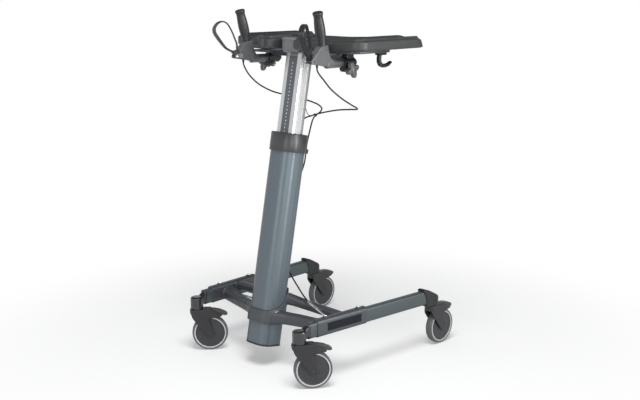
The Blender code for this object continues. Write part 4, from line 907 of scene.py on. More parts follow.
def studio_floor():
    """A white floor that keeps the table's soft shadow and runs out into the white surround."""
    clear_selection()
    spot = (0, 0, FLOOR_LEVEL)
    bpy.ops.mesh.primitive_circle_add(vertices=64, radius=FLOOR_RADIUS, fill_type="NGON", location=spot)
    floor = settle(named("studio_floor"))
    material = bpy.data.materials.new("studio_floor")
    material.use_nodes = True
    tree = material.node_tree
    tree.nodes.remove(tree.nodes["Principled BSDF"])
    seen = seen_rays(tree)
    matt = add_node(tree, "BsdfDiffuse", {"Color": (*colours().floor, 1.0)})
    lift = add_node(tree, "Emission", {"Strength": math_of(tree, "MULTIPLY", seen, FLOOR_LIFT)})
    near = add_node(tree, "AddShader", {0: matt.outputs[0], 1: lift.outputs[0]})
    place = add_node(tree, "TexCoord").outputs["Object"]
    distance = add_node(tree, "VectorMath", {0: place}, operation="LENGTH").outputs["Value"]
    share = math_of(tree, "MULTIPLY", ramp_of(tree, distance, *FLOOR_FADE, "SMOOTHSTEP"), seen)
    surface = mixed_shader(tree, share, near, add_node(tree, "Emission"))
    tree.links.new(surface.outputs[0], tree.nodes["Material Output"].inputs["Surface"])
    floor.data.materials.append(material)
    return floor


def lamp(name, matt=True, glossy=True, spared=None):
    """A soft box, turned to its target, that leaves the spared object unlit."""
    spot, target, size, power = LAMPS[name]
    clear_selection()
    bpy.ops.object.light_add(type="AREA", location=spot)
    light = bpy.context.active_object
    light.name = name
    light.data.shape = "RECTANGLE"
    light.data.size, light.data.size_y = size
    light.data.energy = power
    light.visible_diffuse = matt
    light.visible_glossy = glossy
    light.rotation_euler = (Vector(target) - Vector(spot)).to_track_quat("-Z", "Y").to_euler()
    if spared:
        light.light_linking.receiver_collection = bpy.data.collections.new(name + "_lit")
        spare(spared, name)


def spare(piece, lamp_name):
    """Keeps a lamp's light off a piece."""
    lit = bpy.data.collections[lamp_name + "_lit"]
    lit.objects.link(piece)
    lit.collection_objects[-1].light_linking.link_state = "EXCLUDE"


def studio_lamps(floor):
    """A lamp overhead that lights the floor too, so that shadows lie under the table, and three for the table alone."""
    lamp("overhead_lamp", glossy=False)
    lamp("key_lamp", spared=floor)
    lamp("column_strip", matt=False, spared=floor)
    lamp("front_lamp", spared=floor)


def dark_card(name, spot, size):
    """A black card that only reflections see, which gives the glossy pieces their dark sides."""
    clear_selection()
    bpy.ops.mesh.primitive_plane_add(size=1.0)
    card = named(name)
    card.scale = (*size, 1.0)
    card.rotation_euler = (-Vector((spot[0], spot[1], 0))).to_track_quat("Z", "Y").to_euler()
    card.location = spot
    settle(card)
    material = bpy.data.materials.new(name)
    material.use_nodes = True
    shader = material.node_tree.nodes["Principled BSDF"]
    shader.inputs["Base Color"].default_value = (0.01, 0.01, 0.01, 1.0)
    shader.inputs["Specular IOR Level"].default_value = 0.0
    card.data.materials.append(material)
    card.visible_camera = False
    card.visible_diffuse = False
    card.visible_shadow = False
    card.visible_transmission = False


def camera():
    clear_selection()
    bpy.ops.object.camera_add(location=CAMERA_SPOT)
    eye = bpy.context.active_object
    eye.name = "photo_camera"
    eye.rotation_euler = [math.radians(angle) for angle in CAMERA_TURN]
    eye.data.sensor_width = 36.0
    eye.data.lens = CAMERA_LENS
    eye.data.clip_start = 0.05
    eye.data.clip_end = 100.0
    bpy.context.scene.camera = eye


def make_stage():
    bpy.context.scene.view_settings.view_transform = "Standard"
    world_light()
    studio_lamps(studio_floor())
    for name, (spot, size) in DARK_CARDS.items():
        dark_card(name, spot, size)
    camera()


# Armrest


def ease_in(value, start, end):
    """Rises smoothly from 0 at the start to 1 at the end."""
    share = min(1.0, max(0.0, (value - start) / (end - start)))
    return share * share * (3 - 2 * share)


def pad_top(x, y):
    """How far the top departs from flat: a trough along each arm, a crowned bridge and a dip before each grip."""
    across = max(0.0, 1.0 - ((abs(x) - PAD_ARM_X) / PAD_TROUGH_HALF_WIDTH) ** 2)
    trough = sizes().pad_trough * across * ease_in(y, *PAD_TROUGH_FRONT)
    crown = max(0.0, 1.0 - ((y - PAD_BRIDGE_Y) / PAD_BRIDGE_HALF_DEPTH) ** 2)
    bridge = crown * (1.0 - ease_in(abs(x), *PAD_BRIDGE_SIDES))
    aside = (abs(x) - PAD_DIP[0]) / PAD_DIP_REACH[0]
    along = (y - PAD_DIP[1]) / PAD_DIP_REACH[1]
    dip = PAD_DIP_DEPTH * math.exp(-(aside**2) - along**2)
    rear = PAD_REAR_DEPTH * max(0.0, (y - PAD_REAR_START) / PAD_REAR_REACH) ** 2
    return sizes().pad_crown * bridge - trough - dip - rear


def armrest_pad():
    """Foam pad with a trough for each forearm, eased upper edges, a firm lower edge and slanted rear ends."""
    piece = moulded(copy_of("tray_pad", "armrest_pad"), sizes().pad_cell)
    low = min(vert.co.z for vert in piece.data.vertices)
    high = max(vert.co.z for vert in piece.data.vertices)
    for vert in piece.data.vertices:
        share = (vert.co.z - low) / (high - low)
        x, y = vert.co.x, vert.co.y
        vert.co.y += (PAD_SLANT_FOOT - PAD_SLANT * share) * ease_in(y, *PAD_SLANT_RANGE)
        vert.co.z += ease_in(share, 0.25, 1.0) * pad_top(x, y)
    smooth(eased(piece, 3), 60)
    dress(piece, "pad_skin", "pad_foam", "lift", "tray_pad")


def head_pieces():
    """The cover round the column's top, the plate under the pad and the bag hook."""
    cover = moulding("head_cover", "column_cover", 1.3, 30, 60)
    dress(cover, "cover_moulding", "black_plastic", "lift", "head_cover")
    plate = smooth(bevelled(copy_of("tray_frame", "armrest_plate"), 0.0006, 1), 40)
    dress(plate, "cast_anthracite", "anthracite_casting", "lift", "tray_frame")
    hook = swollen(copy_of("bag_hook", "bag_hook_moulding"), HOOK_GROWTH)
    smooth(moulded(hook, sizes().moulding_round * 0.8, 4), 50)
    dress(hook, "black_moulding", "black_plastic", "lift", "bag_hook")
    for side_name, side in SIDES:
        arm = clamp_arm(side_name + "_clamp_arm", side)
        dress(arm, "cast_anthracite", "anthracite_casting", "lift")


def clamp_arm(name, side):
    """The cast arm that reaches from the plate's middle to a tube clamp, waisted and with a rib under it."""
    arm = block(name, CLAMP_ARM_SIZE, (side * CLAMP_ARM_SPOT[0], CLAMP_ARM_Y, CLAMP_ARM_SPOT[1]))
    join(arm, block("rib", CLAMP_RIB_SIZE, (side * CLAMP_RIB_SPOT[0], CLAMP_ARM_Y, CLAMP_RIB_SPOT[1])))
    moulded(arm, sizes().moulding_round)
    for vert in arm.data.vertices:
        share = min(1.0, max(0.0, (abs(vert.co.x) - CLAMP_ARM_START) / CLAMP_ARM_SIZE[0]))
        width = 1.0 - CLAMP_ARM_WAIST * math.sin(math.pi * share)
        vert.co.y = CLAMP_ARM_Y + (vert.co.y - CLAMP_ARM_Y) * width
    return smooth(arm, 50)


# Handles


def grips():
    """Rubber grips with a rolled lower edge, a slight waist and a domed end with its flange."""
    r, end = GRIP_RADIUS, GRIP_LENGTH
    profile = [(r - 0.0012, 0.0), (r + 0.0006, 0.0012), (r + 0.0006, 0.0040), (r + 0.0002, 0.0062)]
    profile += [(r + 0.0012, end * 0.15), (r + 0.0025, end * 0.32), (r + 0.0028, end * 0.45), (r + 0.0022, end * 0.60)]
    profile += [(r + 0.0010, end * 0.73), (r + 0.0002, end - 0.019), (r + 0.0006, end - 0.0135)]
    profile += [(r + 0.0016, end - 0.0095), (r + 0.0024, end - 0.0065), (r + 0.0024, end - 0.0035)]
    profile += [(r + 0.0012, end - 0.0014), (r - 0.0010, end - 0.0003), (r - 0.0030, end), (r - 0.0044, end - 0.0010)]
    profile += [(r - 0.0052, end - 0.0016), (0.0030, end - 0.0012)]
    for side_name, side in SIDES:
        base, along = grip_line(side)
        place = pointing(base + along * GRIP_START, along)
        piece = smooth(turned(side_name + "_hand_grip", profile, place, 56), 50)
        dress(piece, "soft_grip_rubber", "grip_rubber", side_name + "_handle_unit", side_name + "_grip")


def handle_brackets():
    """Handle tubes with the moulded brackets that carry the grips."""
    for side_name, _ in SIDES:
        piece = moulding(side_name + "_handle", side_name + "_handle_bracket", 0.8, 3)
        dress(piece, "handle_moulding", "black_plastic", side_name + "_handle_unit", side_name + "_handle")


def between(values, share):
    """The value at a share of the way along a list."""
    place = share * (len(values) - 1)
    low = min(int(place), len(values) - 2)
    return values[low] + (values[low + 1] - values[low]) * (place - low)


def band(name, route, widths, depths):
    """A band with rounded edges along a route in its local YZ plane, with lists of its widths and depths."""
    width, depth = max(widths), max(depths)
    x, y, r = depth / 2, width / 2, LOOP_EDGE
    corners = ((x - r, -y), (x, r - y), (x, y - r), (x - r, y), (r - x, y), (-x, y - r), (-x, r - y), (r - x, -y))
    section = drawn_curve(name + "_section", [(b, -a, 0.0) for a, b in corners])
    section.data.splines[0].use_cyclic_u = True
    piece = drawn_curve(name, route)
    piece.data.bevel_mode = "OBJECT"
    piece.data.bevel_object = section
    piece.data.use_fill_caps = True
    only(piece)
    bpy.ops.object.convert(target="MESH")
    bpy.data.objects.remove(section, do_unlink=True)
    for vert in piece.data.vertices:
        nearest = min(range(len(route)), key=lambda i: (vert.co.yz - route[i].yz).length_squared)
        share = nearest / (len(route) - 1)
        middle = route[nearest].yz
        vert.co.x *= between(widths, share) / width
        vert.co.yz = middle + (vert.co.yz - middle) * (between(depths, share) / depth)
    return face_out(piece)


def brake_loops():
    """Closed loops of flat band, each on the block that turns on its lever pin."""
    for side_name, side in SIDES:
        piece = copy_of(side_name + "_brake_lever", side_name + "_brake_loop")
        root = lever_place(side) @ Vector((0, 0, LOOP_ROOT))
        start_edit(piece)
        bpy.ops.mesh.bisect(plane_co=root, plane_no=(0, 0, 1), use_fill=True, clear_outer=True)
        end_edit()
        route = even_route([(0, y, z) for y, z in LOOP_ROUTE], LOOP_STEP)
        strap = settle(band("strap", route, LOOP_WIDTHS, LOOP_DEPTHS), lever_place(side))
        moulded(join(piece, strap), sizes().moulding_round * 0.65, 3)
        smooth(piece, 50)
        dress(piece, "black_moulding", "black_plastic", side_name + "_lever", side_name + "_brake_lever")


def clamps():
    for side_name, _ in SIDES:
        piece = moulding(side_name + "_handle_clamp", side_name + "_tube_clamp", 0.75, 3)
        dress(piece, "black_moulding", "black_plastic", "lift", side_name + "_handle_clamp")


def clamp_knobs():
    """Four-lobed knobs, rounded over, with the cap that closes each knob's middle."""
    for side_name, side in SIDES:
        piece = copy_of(side_name + "_clamp_knob", side_name + "_star_knob")
        moulded(piece, sizes().moulding_round * 0.85)
        centre = Vector((side * KNOB_CENTRE[0], KNOB_CENTRE[1], KNOB_CENTRE[2]))
        face = pointing(centre + Vector((side * KNOB_FACE, 0, 0)), (side, 0, 0))
        cap = turned("cap", [(0.0085, 0.0), (0.0083, 0.0009), (0.0070, 0.0014), (0.0030, 0.0017)], face, 32)
        smooth(join(piece, cap), 40)
        dress(piece, "handle_moulding", "black_plastic", side_name + "_knob", side_name + "_clamp_knob")


# Column


def outer_tube():
    """The column's tube: a deep round front, a square back and a fine groove down each side."""
    depth = TUBE_FRONT + TUBE_REAR
    length = TUBE_TOP - TUBE_BOTTOM
    middle = Matrix.Translation((0, (TUBE_REAR - TUBE_FRONT) / 2, (TUBE_TOP + TUBE_BOTTOM) / 2))
    piece = bar("column_tube", (TUBE_WIDTH, depth, length), TUBE_CORNERS, middle, 14)
    start_edit(piece)
    for offset in (-TUBE_GROOVE_HALF_WIDTH, 0.0, TUBE_GROOVE_HALF_WIDTH):
        bpy.ops.mesh.select_all(action="SELECT")
        bpy.ops.mesh.bisect(plane_co=(0, TUBE_GROOVE_Y + offset, 0), plane_no=(0, 1, 0))
    half = TUBE_WIDTH / 2

    def groove(vert):
        return abs(vert.co.y - TUBE_GROOVE_Y) < 0.0001 and abs(vert.co.x) > half - 0.0001

    pick(piece, "VERT", groove)
    bpy.ops.transform.resize(value=((half - TUBE_GROOVE_DEPTH) / half, 1, 1), center_override=(0, 0, 0))
    end_edit()
    smooth(settle(piece, column_place()), 30)
    dress(piece, "column_lacquer", "blue_grey_aluminium", "base", "outer_tube")


def column_trim():
    """The collar at the tube's top and the cap under its foot."""
    collar = smooth(bevelled(copy_of("column_collar", "top_collar"), 0.0007), 40)
    dress(collar, "collar_moulding", "black_plastic", "base", "column_collar")
    foot = smooth(bevelled(copy_of("foot_cap", "tube_foot_cap"), 0.0007), 40)
    dress(foot, "black_moulding", "black_plastic", "base", "foot_cap")


def inner_column():
    """The inner column, out of the key lamp's light, which would burn its side out to white."""
    piece = smooth(bevelled(copy_of("inner_column", "inner_extrusion"), 0.0003, 1), 25)
    dress(piece, "drawn_aluminium", "bare_aluminium", "lift", "inner_column")
    spare(piece, "key_lamp")


def scale_dots():
    """The height scale: one printed dot, repeated up the strip."""
    strip = smooth(bevelled(copy_of("scale_strip", "height_strip"), 0.0004, 1), 40)
    dress(strip, "scale_plastic", "strip_plastic", "lift", "scale_strip")
    front = -INNER_DEPTH / 2
    count = int((STRIP_TOP - STRIP_BOTTOM - DOTS_MARGIN) / sizes().dot_pitch)
    first = column_place() @ Matrix.Translation((0, front, STRIP_BOTTOM + DOTS_START))
    first = first @ Matrix.Rotation(math.radians(90), 4, "X")
    dot = turned("scale_dots", [(0.0021, 0.0), (0.0020, 0.00025), (0.0014, 0.0004)], first, 14)
    step = column_place().to_3x3() @ Vector((0, 0, sizes().dot_pitch))
    row = dot.modifiers.new("row", "ARRAY")
    row.count = count
    row.use_relative_offset = False
    row.use_constant_offset = True
    row.constant_offset_displace = step
    smooth(apply_all(dot), 50)
    dress(dot, "dot_print", "strip_plastic", "lift")


def hidden_column_pieces():
    """The guide and the gas spring inside the column keep their CAD shape."""
    paint(NODES["glide_bush"], "black_moulding")
    paint(NODES["gas_spring_cylinder"], "polished_steel")
    paint(NODES["gas_spring_rod"], "polished_steel")


# Floor frame


def yoke():
    """The cast yoke: filled, given a cast skin with soft fillets, then bored again for the tube and rails."""
    piece = copy_of("base_yoke", "cast_yoke")
    depth = TUBE_FRONT + TUBE_REAR
    middle = column_place() @ Matrix.Translation((0, (TUBE_REAR - TUBE_FRONT) / 2, YOKE_MIDDLE))
    fills = [bar("core", (TUBE_WIDTH - YOKE_CORE_GAP, depth - YOKE_CORE_GAP, YOKE_CORE_LENGTH), TUBE_CORNERS, middle)]
    span = SLEEVE_REAR_Y - SLEEVE_FRONT_Y
    spot = (0, (SLEEVE_REAR_Y + SLEEVE_FRONT_Y) / 2 - RAIL_FRONT[1], 0)
    for _, side in SIDES:
        size = (RAIL_WIDTH - SLEEVE_FILL_GAP, RAIL_HEIGHT - SLEEVE_FILL_GAP, span - 0.0005)
        fills.append(bar("fill", size, (SLEEVE_FILL_CORNER,) * 2, lying(rail_place(side), spot), 4))
    moulded(join(piece, *fills), sizes().casting_round)
    size = (TUBE_WIDTH + BORE_CLEARANCE, depth + BORE_CLEARANCE, YOKE_HOLE_LENGTH)
    cut(piece, bar("hole", size, TUBE_CORNERS, middle, 14))
    for _, side in SIDES:
        size = (RAIL_WIDTH + BORE_CLEARANCE, RAIL_HEIGHT + BORE_CLEARANCE, span + 0.06)
        cut(piece, bar("bore", size, (SLEEVE_BORE_CORNER,) * 2, lying(rail_place(side), spot), 6))
    smooth(piece, 40)
    dress(piece, "cast_anthracite", "anthracite_casting", "base", "base_yoke")


def rails():
    """The two lacquered rails, closed tubes with round corners."""
    for side_name, side in SIDES:
        place = lying(rail_place(side), (0, rail_length() / 2, 0))
        size = (RAIL_WIDTH, RAIL_HEIGHT, rail_length() - 0.0004)
        piece = smooth(bar(side_name + "_rail_tube", size, (RAIL_CORNER, RAIL_CORNER), place), 30)
        dress(piece, "rail_lacquer", "blue_grey_paint", "base", side_name + "_rail")


def sleeve_labels():
    """A plain plate on the outer side of each sleeve."""
    for side_name, side in SIDES:
        middle = Matrix.Translation((side * (SLEEVE_SIDE + PLATE_PROUD), *PLATE_SPOT))
        piece = block(side_name + "_sleeve_plate", PLATE_SIZE)
        start_edit(piece)
        pick(piece, "EDGE", lambda edge: abs(edge.verts[0].co.x - edge.verts[1].co.x) > 0.0005)
        bpy.ops.mesh.bevel(offset=PLATE_CORNER, segments=4, affect="EDGES")
        end_edit()
        settle(piece, rail_place(side) @ middle)
        smooth(bevelled(piece, 0.00015, 1), 40)
        dress(piece, "plain_label", "strip_plastic", "base")


def end_brackets():
    """The moulded swan necks at the rails' front ends and the arched caps at their rear ends."""
    for side_name, _ in SIDES:
        neck = moulding(side_name + "_front_bracket", side_name + "_swan_neck", passes=9)
        dress(neck, "glossy_moulding", "black_plastic", "base", side_name + "_front_bracket")
        cap = moulding(side_name + "_rear_cap", side_name + "_end_cap", passes=9)
        dress(cap, "black_moulding", "black_plastic", "base", side_name + "_rear_cap")


# Casters


def wheel_disc(name, place):
    """Disc with its hub, a dished web and the rim."""
    half = [(0.0050, 0.0136), (0.0095, 0.0136), (0.0108, 0.0131), (0.0118, 0.0118), (0.0150, 0.0106), (0.0300, 0.0100)]
    half += [(0.0450, 0.0098), (0.0478, 0.0094), (0.0495, 0.0098), (0.0505, 0.0110), (0.0518, 0.0114)]
    profile = [(r, -z) for r, z in half] + [(0.0550, -0.0112), (0.0550, 0.0112)] + [(r, z) for r, z in reversed(half)]
    return smooth(turned(name, profile, place, 72), 40)


def light_ring(name, place):
    """The pale ring between a wheel's disc and its tyre."""
    outline = [(0.0515, 0.0110), (0.0519, 0.0121), (0.0530, 0.0125), (0.0546, 0.0125), (0.0556, 0.0120)]
    outline = outline + [(r, -z) for r, z in reversed(outline)]
    return smooth(spun(name, outline, place, 72), 50)


def tyre(name, place):
    """Solid tyre with rounded shoulders and two fine mould lines."""
    half = [(0.0553, 0.0112), (0.0560, 0.0120), (0.0578, 0.0132), (0.0592, 0.0134), (0.0604, 0.0128), (0.0614, 0.0114)]
    half += [(0.0620, 0.0096), (0.06235, 0.0076), (0.06215, 0.0072), (0.06240, 0.0066), (0.0625, 0.0036)]
    outline = half + [(r, -z) for r, z in reversed(half)]
    return smooth(spun(name, outline, place, 96), 50)


def repeat(piece, name, place):
    """A copy with its own mesh, moved from the first caster's place to another's."""
    copy = bpy.data.objects.new(name, piece.data.copy())
    copy.data.name = name
    bpy.context.scene.collection.objects.link(copy)
    return settle(copy, place)


def at_each_caster(make, names, look, slot, body, node=None):
    """Models a piece on the first caster, copies it to the other three and dresses all four."""
    first = CASTERS[0]
    model = make(first[0] + names)
    home = caster_place(*first[1:])
    for corner, side, stem, turn in CASTERS:
        piece = model
        if corner != first[0]:
            piece = repeat(model, corner + names, caster_place(side, stem, turn) @ home.inverted())
        dress(piece, look, slot, corner + body, *([corner + node] if node else []))


def axle_pin(name, place):
    """The axle with its two caps, which close the bore flush with the fork's legs."""
    reach = FORK_SIDE
    axle = [(0.0030, -reach), (0.0046, 0.0006 - reach), (0.0046, 0.0016 - reach), (0.0038, 0.0020 - reach)]
    axle += [(r, -z) for r, z in reversed(axle)]
    return smooth(turned(name, axle, place, 32), 40)


def wheels():
    place = wheel_place(*CASTERS[0][1:])
    at_each_caster(
        lambda name: wheel_disc(name, place), "_disc", "wheel_disc_plastic", "disc_plastic", "_wheel", "_wheel_disc"
    )
    at_each_caster(lambda name: light_ring(name, place), "_light_ring", "ring_plastic", "disc_plastic", "_wheel")
    at_each_caster(lambda name: tyre(name, place), "_tread", "grey_tyre_rubber", "tyre_rubber", "_wheel", "_tyre")


def forks():
    corner = CASTERS[0][0]
    place = wheel_place(*CASTERS[0][1:])
    at_each_caster(
        lambda name: moulding(corner + "_fork", name), "_fork_moulding", "fork_moulding", "black_plastic",
        "_caster", "_fork",
    )
    at_each_caster(lambda name: axle_pin(name, place), "_axle_pin", "fork_moulding", "bright_steel", "_caster", "_axle")


def pedals():
    corner = CASTERS[0][0]
    at_each_caster(
        lambda name: moulding(corner + "_brake_pedal", name, 0.8), "_pedal_moulding", "pedal_moulding",
        "black_plastic", "_pedal", "_brake_pedal",
    )


# Brake cables


def column_point(x, y, s):
    """A spot at height s up the leaning column, x to its side and y to its rear."""
    return tuple(column_place() @ Vector((x, y, s)))


def low_route(side):
    """From the collar's clip down the back of the tube and across to the adjuster."""
    clip_y = TUBE_REAR + COLLAR_WALL + CLIP_STAND_OFF
    back = TUBE_REAR + CABLE_HALF + CABLE_GAP
    heights = (CLIP_TOP + 0.020, CLIP_TOP, CLIP_BOTTOM, CLIP_BOTTOM - 0.020)
    points = [column_point(side * CLIP_X, clip_y, s) for s in heights]
    points += [column_point(side * x, y, s) for x, y, s in ((0.037, back + 0.004, 0.680), (0.026, back, 0.630))]
    points += [column_point(side * x, back, s) for x, s in ((0.012, 0.560), (0.008, 0.460), (0.010, 0.390))]
    if side > 0:
        points += [(0.018, -0.172, 0.330), (0.030, -0.173, 0.302), (0.051, -0.177, 0.284)]
        return points + [(0.082, -0.183, 0.262), (0.110, -0.1885, 0.243), ADJUSTER_ENDS[0][1]]
    points += [(-0.016, -0.172, 0.330), (-0.021, -0.169, 0.280), (-0.030, -0.170, 0.235), (-0.044, -0.174, 0.203)]
    return points + [(-0.066, -0.181, 0.186), (-0.098, -0.189, 0.181), ADJUSTER_ENDS[1][1]]


def cable_routes():
    """Both cables from their brackets to the adjusters, with the indices where their stretches meet."""
    left = [(0.177, -0.188, 1.0132), (0.177, -0.187, 0.9990), (0.178, -0.180, 0.9860), (0.181, -0.164, 0.9680)]
    left += [(0.189, -0.135, 0.9340), (0.200, -0.096, 0.9020), (0.2100, -0.062, 0.8800), (0.2110, -0.038, 0.8680)]
    left += [(0.196, -0.022, 0.8610), (0.160, -0.014, 0.8570), (0.112, -0.024, 0.8520), (0.066, -0.044, 0.8420)]
    left += [(0.026, -0.064, 0.8290), (-0.010, -0.073, 0.8100)]
    right = [(-0.177, -0.188, 1.0132), (-0.177, -0.187, 0.9990), (-0.177, -0.177, 0.9800), (-0.176, -0.158, 0.9560)]
    right += [(-0.170, -0.125, 0.9270), (-0.154, -0.085, 0.9030), (-0.124, -0.056, 0.8900), (-0.078, -0.047, 0.8840)]
    right += [(-0.030, -0.048, 0.8800), (0.010, -0.047, 0.8740), (0.036, -0.040, 0.8650), (0.045, -0.033, 0.8530)]
    right += [(0.036, -0.032, 0.8400), (0.024, -0.038, 0.8290), (0.020, -0.053, 0.8110)]
    left_route = ("left", left + low_route(-1), 10, len(left) + 1)
    return left_route, ("right", right + low_route(1), 8, len(right) + 1)


def cables():
    """Each cable in three stretches: on the handle, slack between armrest and collar, and held down the column."""
    radius = sizes().cable_radius
    for side_name, points, middle, held in cable_routes():
        hang = tube(side_name + "_hanging_cable", even_route(points, CABLE_STEP, 0, middle), radius)
        slack = tube(side_name + "_slack_cable", even_route(points, CABLE_STEP, middle, held), radius)
        if side_name == "right":
            join(slack, *cable_tie(radius))
        run = tube(side_name + "_held_cable", even_route(points, CABLE_STEP, held, len(points) - 1), radius)
        dress(hang, "cable_sheath", "cable_plastic", None, side_name + "_cable_hang")
        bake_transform(hang)
        dress(slack, "cable_sheath", "cable_plastic", None, side_name + "_cable_slack")
        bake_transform(slack)
        dress(run, "cable_sheath", "cable_plastic", "base", side_name + "_cable_run")
        ferrule_at(side_name, points)


def cable_tie(radius):
    """The tie that holds both cables where they cross, with its lock and its cut tail."""
    knot = Vector(TIE_SPOT)
    inner, outer, half = radius * 2.05, radius * 2.45, TIE_HALF_WIDTH
    outline = [(inner, -half), (outer, -half), (outer, half), (inner, half)]
    loop = spun("tie_loop", outline, pointing(knot, TIE_LINE), 32)
    lock = settle(block("tie_lock", TIE_LOCK_SIZE), pointing(knot + Vector(TIE_LOCK_STEP), TIE_LINE))
    bevelled(lock, 0.0006)
    tail = tube("tie_tail", [knot + Vector(step) for step in TIE_TAIL], 0.0012)
    return loop, lock, tail


def ferrule_at(side_name, points):
    """The ferrule where a cable leaves its bracket."""
    start = Vector(points[0])
    along = Vector(points[1]) - start
    profile = [(0.0036, -0.0015), (0.0038, 0.0), (0.0038, 0.0050), (0.0034, 0.0058), (0.0030, 0.0090), (0.0026, 0.0096)]
    piece = smooth(turned(side_name + "_cable_ferrule", profile, pointing(start, along), 24), 40)
    dress(piece, "black_moulding", "black_plastic", side_name + "_handle_unit")


def adjusters():
    """Bright barrels with six-sided nuts between the cables and the sleeves."""
    for side_name, start, end in ADJUSTER_ENDS:
        start = Vector(start)
        along = Vector(end) - start
        length = along.length
        profile = [(0.0026, 0.0), (0.0036, 0.0012), (0.0039, 0.0030), (0.0039, length * 0.30), (0.0035, length * 0.305)]
        profile += [(0.0035, length * 0.33), (0.0039, length * 0.335), (0.0039, length * 0.60)]
        profile += [(0.0028, length * 0.615), (0.0027, length - 0.001)]
        piece = turned(side_name + "_adjuster_barrel", profile, pointing(start, along), 28)
        flats = [(0.0030, 0.0), (0.0046, 0.0006), (0.0046, 0.0040), (0.0030, 0.0046)]
        smooth(join(piece, turned("nut", flats, pointing(start + along * 0.80, along), 6)), 35)
        dress(piece, "polished_steel", "bright_steel", "base", side_name + "_cable_adjuster")


# Fasteners


def screw(name, spot, direction, radius, height):
    """Domed screw head with a socket, its underside at the spot."""
    profile = [(radius, -0.0008), (radius, height * 0.45), (radius * 0.93, height * 0.78), (radius * 0.72, height)]
    profile += [(radius * 0.48, height), (radius * 0.44, height * 0.55)]
    return smooth(turned(name, profile, pointing(spot, direction), 32), 35)


def yoke_screws():
    """The two bright clamping screws in the yoke's collar and the screws in the sleeves' lugs."""
    front_step, rear_step = LUG_SCREW_STEPS
    lugs = (("_front", SLEEVE_FRONT_Y + front_step), ("_rear", SLEEVE_REAR_Y - rear_step))
    for side_name, side in SIDES:
        seat = (side * COLLAR_SCREW_SEAT[0], *COLLAR_SCREW_SEAT[1:])
        line = (side * COLLAR_SCREW_LINE[0], *COLLAR_SCREW_LINE[1:])
        piece = screw(side_name + "_collar_screw", seat, line, *COLLAR_SCREW_SIZE)
        dress(piece, "polished_steel", "bright_steel", "base")
        for label, y in lugs:
            seat = rail_place(side) @ Vector((0, y - RAIL_FRONT[1], SLEEVE_TOP + LUG_SCREW_RISE))
            piece = screw(side_name + label + "_lug_screw", seat, (0, 0, 1), *LUG_SCREW_SIZE)
            dress(piece, "polished_steel", "bright_steel", "base")


def handle_screws():
    """Lever pins with their heads, and the bright nut at the blind end of each clamp screw."""
    for side_name, side in SIDES:
        end = PIN_REACH
        pin = [(0.0022, -end - 0.0008), (0.0036, -end - 0.0002), (0.0036, 0.0008 - end), (0.0025, 0.0009 - end)]
        pin += [(r, -z) for r, z in reversed(pin)]
        place = lever_place(side) @ Matrix.Rotation(math.radians(90), 4, "Y")
        piece = smooth(turned(side_name + "_pin_heads", pin, place, 24), 35)
        dress(piece, "polished_steel", "bright_steel", side_name + "_handle_unit", side_name + "_lever_pin")
        blind = Vector((side * (HANDLE_X - CLAMP_NUT_STEP), KNOB_CENTRE[1], KNOB_CENTRE[2]))
        flats = [(0.0055, 0.0), (0.0062, 0.0006), (0.0062, 0.0042), (0.0052, 0.0050), (0.0030, 0.0062)]
        nut = turned(side_name + "_clamp_nut", flats, pointing(blind, (-side, 0, 0)), 6)
        dress(smooth(nut, 30), "polished_steel", "bright_steel", "lift")


# Operators


class AddStage(bpy.types.Operator):
    """Add the floor, lamps, surround and camera"""

    bl_idname = "walking_table.add_stage"
    bl_label = "Stage"

    def execute(self, context):
        make_stage()
        return {"FINISHED"}


class AddPad(bpy.types.Operator):
    """Add the armrest pad"""

    bl_idname = "walking_table.add_pad"
    bl_label = "Armrest Pad"

    def execute(self, context):
        armrest_pad()
        return {"FINISHED"}


class AddHead(bpy.types.Operator):
    """Add the cover, the plate and the hook under the pad"""

    bl_idname = "walking_table.add_head"
    bl_label = "Head Pieces"

    def execute(self, context):
        head_pieces()
        return {"FINISHED"}


class AddGrips(bpy.types.Operator):
    """Add the two grips"""

    bl_idname = "walking_table.add_grips"
    bl_label = "Grips"

    def execute(self, context):
        grips()
        return {"FINISHED"}


class AddBrackets(bpy.types.Operator):
    """Add the handle brackets with their tubes"""

    bl_idname = "walking_table.add_brackets"
    bl_label = "Handle Brackets"

    def execute(self, context):
        handle_brackets()
        return {"FINISHED"}


class AddLoops(bpy.types.Operator):
    """Add the two brake loops"""

    bl_idname = "walking_table.add_loops"
    bl_label = "Brake Loops"

    def execute(self, context):
        brake_loops()
        return {"FINISHED"}


class AddClamps(bpy.types.Operator):
    """Add the tube clamps and their knobs"""

    bl_idname = "walking_table.add_clamps"
    bl_label = "Clamps and Knobs"

    def execute(self, context):
        clamps()
        clamp_knobs()
        return {"FINISHED"}


class AddColumn(bpy.types.Operator):
    """Add the tube, its trim and the inner column with its scale"""

    bl_idname = "walking_table.add_column"
    bl_label = "Column"

    def execute(self, context):
        outer_tube()
        column_trim()
        inner_column()
        scale_dots()
        hidden_column_pieces()
        return {"FINISHED"}


class AddYoke(bpy.types.Operator):
    """Add the cast yoke"""

    bl_idname = "walking_table.add_yoke"
    bl_label = "Yoke"

    def execute(self, context):
        yoke()
        return {"FINISHED"}


class AddRails(bpy.types.Operator):
    """Add the rails with their end pieces and plates"""

    bl_idname = "walking_table.add_rails"
    bl_label = "Rails"

    def execute(self, context):
        rails()
        sleeve_labels()
        end_brackets()
        return {"FINISHED"}


class AddWheels(bpy.types.Operator):
    """Add the four wheels"""

    bl_idname = "walking_table.add_wheels"
    bl_label = "Wheels"

    def execute(self, context):
        wheels()
        return {"FINISHED"}


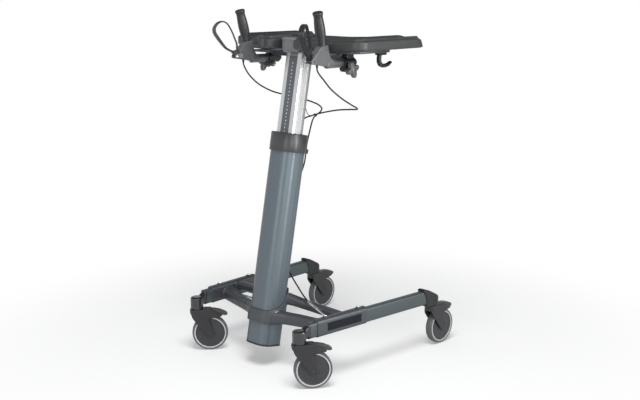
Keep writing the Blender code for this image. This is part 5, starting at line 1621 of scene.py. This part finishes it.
class AddForks(bpy.types.Operator):
    """Add the four forks with their axles and pedals"""

    bl_idname = "walking_table.add_forks"
    bl_label = "Forks and Pedals"

    def execute(self, context):
        forks()
        pedals()
        return {"FINISHED"}


class AddCables(bpy.types.Operator):
    """Add the brake cables and their adjusters"""

    bl_idname = "walking_table.add_cables"
    bl_label = "Brake Cables"

    def execute(self, context):
        cables()
        adjusters()
        return {"FINISHED"}


class AddFasteners(bpy.types.Operator):
    """Add the screws, pins and nuts that show"""

    bl_idname = "walking_table.add_fasteners"
    bl_label = "Fasteners"

    def execute(self, context):
        yoke_screws()
        handle_screws()
        return {"FINISHED"}


OPERATORS = (
    AddStage, AddPad, AddHead, AddGrips, AddBrackets, AddLoops, AddClamps,
    AddColumn, AddYoke, AddRails, AddWheels, AddForks, AddCables, AddFasteners,
)


class WalkingTablePanel(bpy.types.Panel):
    """Lists the sizes, the colours and one button for each group of pieces"""

    bl_idname = "VIEW3D_PT_walking_table"
    bl_label = "Walking Table"
    bl_space_type = "VIEW_3D"
    bl_region_type = "UI"
    bl_category = "Walking Table"

    def draw(self, context):
        layout = self.layout
        for settings in (context.scene.walking_table_sizes, context.scene.walking_table_colours):
            box = layout.box()
            for key in settings.bl_rna.properties.keys():
                if key not in ("rna_type", "name"):
                    box.prop(settings, key)
        for operator in OPERATORS:
            layout.operator(operator.bl_idname)


CLASSES = (WalkingTableSizes, WalkingTableColours, *OPERATORS, WalkingTablePanel)


def register():
    for item in CLASSES:
        bpy.utils.register_class(item)
    bpy.types.Scene.walking_table_sizes = bpy.props.PointerProperty(type=WalkingTableSizes)
    bpy.types.Scene.walking_table_colours = bpy.props.PointerProperty(type=WalkingTableColours)


def unregister():
    del bpy.types.Scene.walking_table_colours
    del bpy.types.Scene.walking_table_sizes
    for item in reversed(CLASSES):
        bpy.utils.unregister_class(item)


def main():
    register()
    for operator in OPERATORS:
        group, action = operator.bl_idname.split(".")
        getattr(getattr(bpy.ops, group), action)()
    clear_selection()


if __name__ == "__main__":
    main()
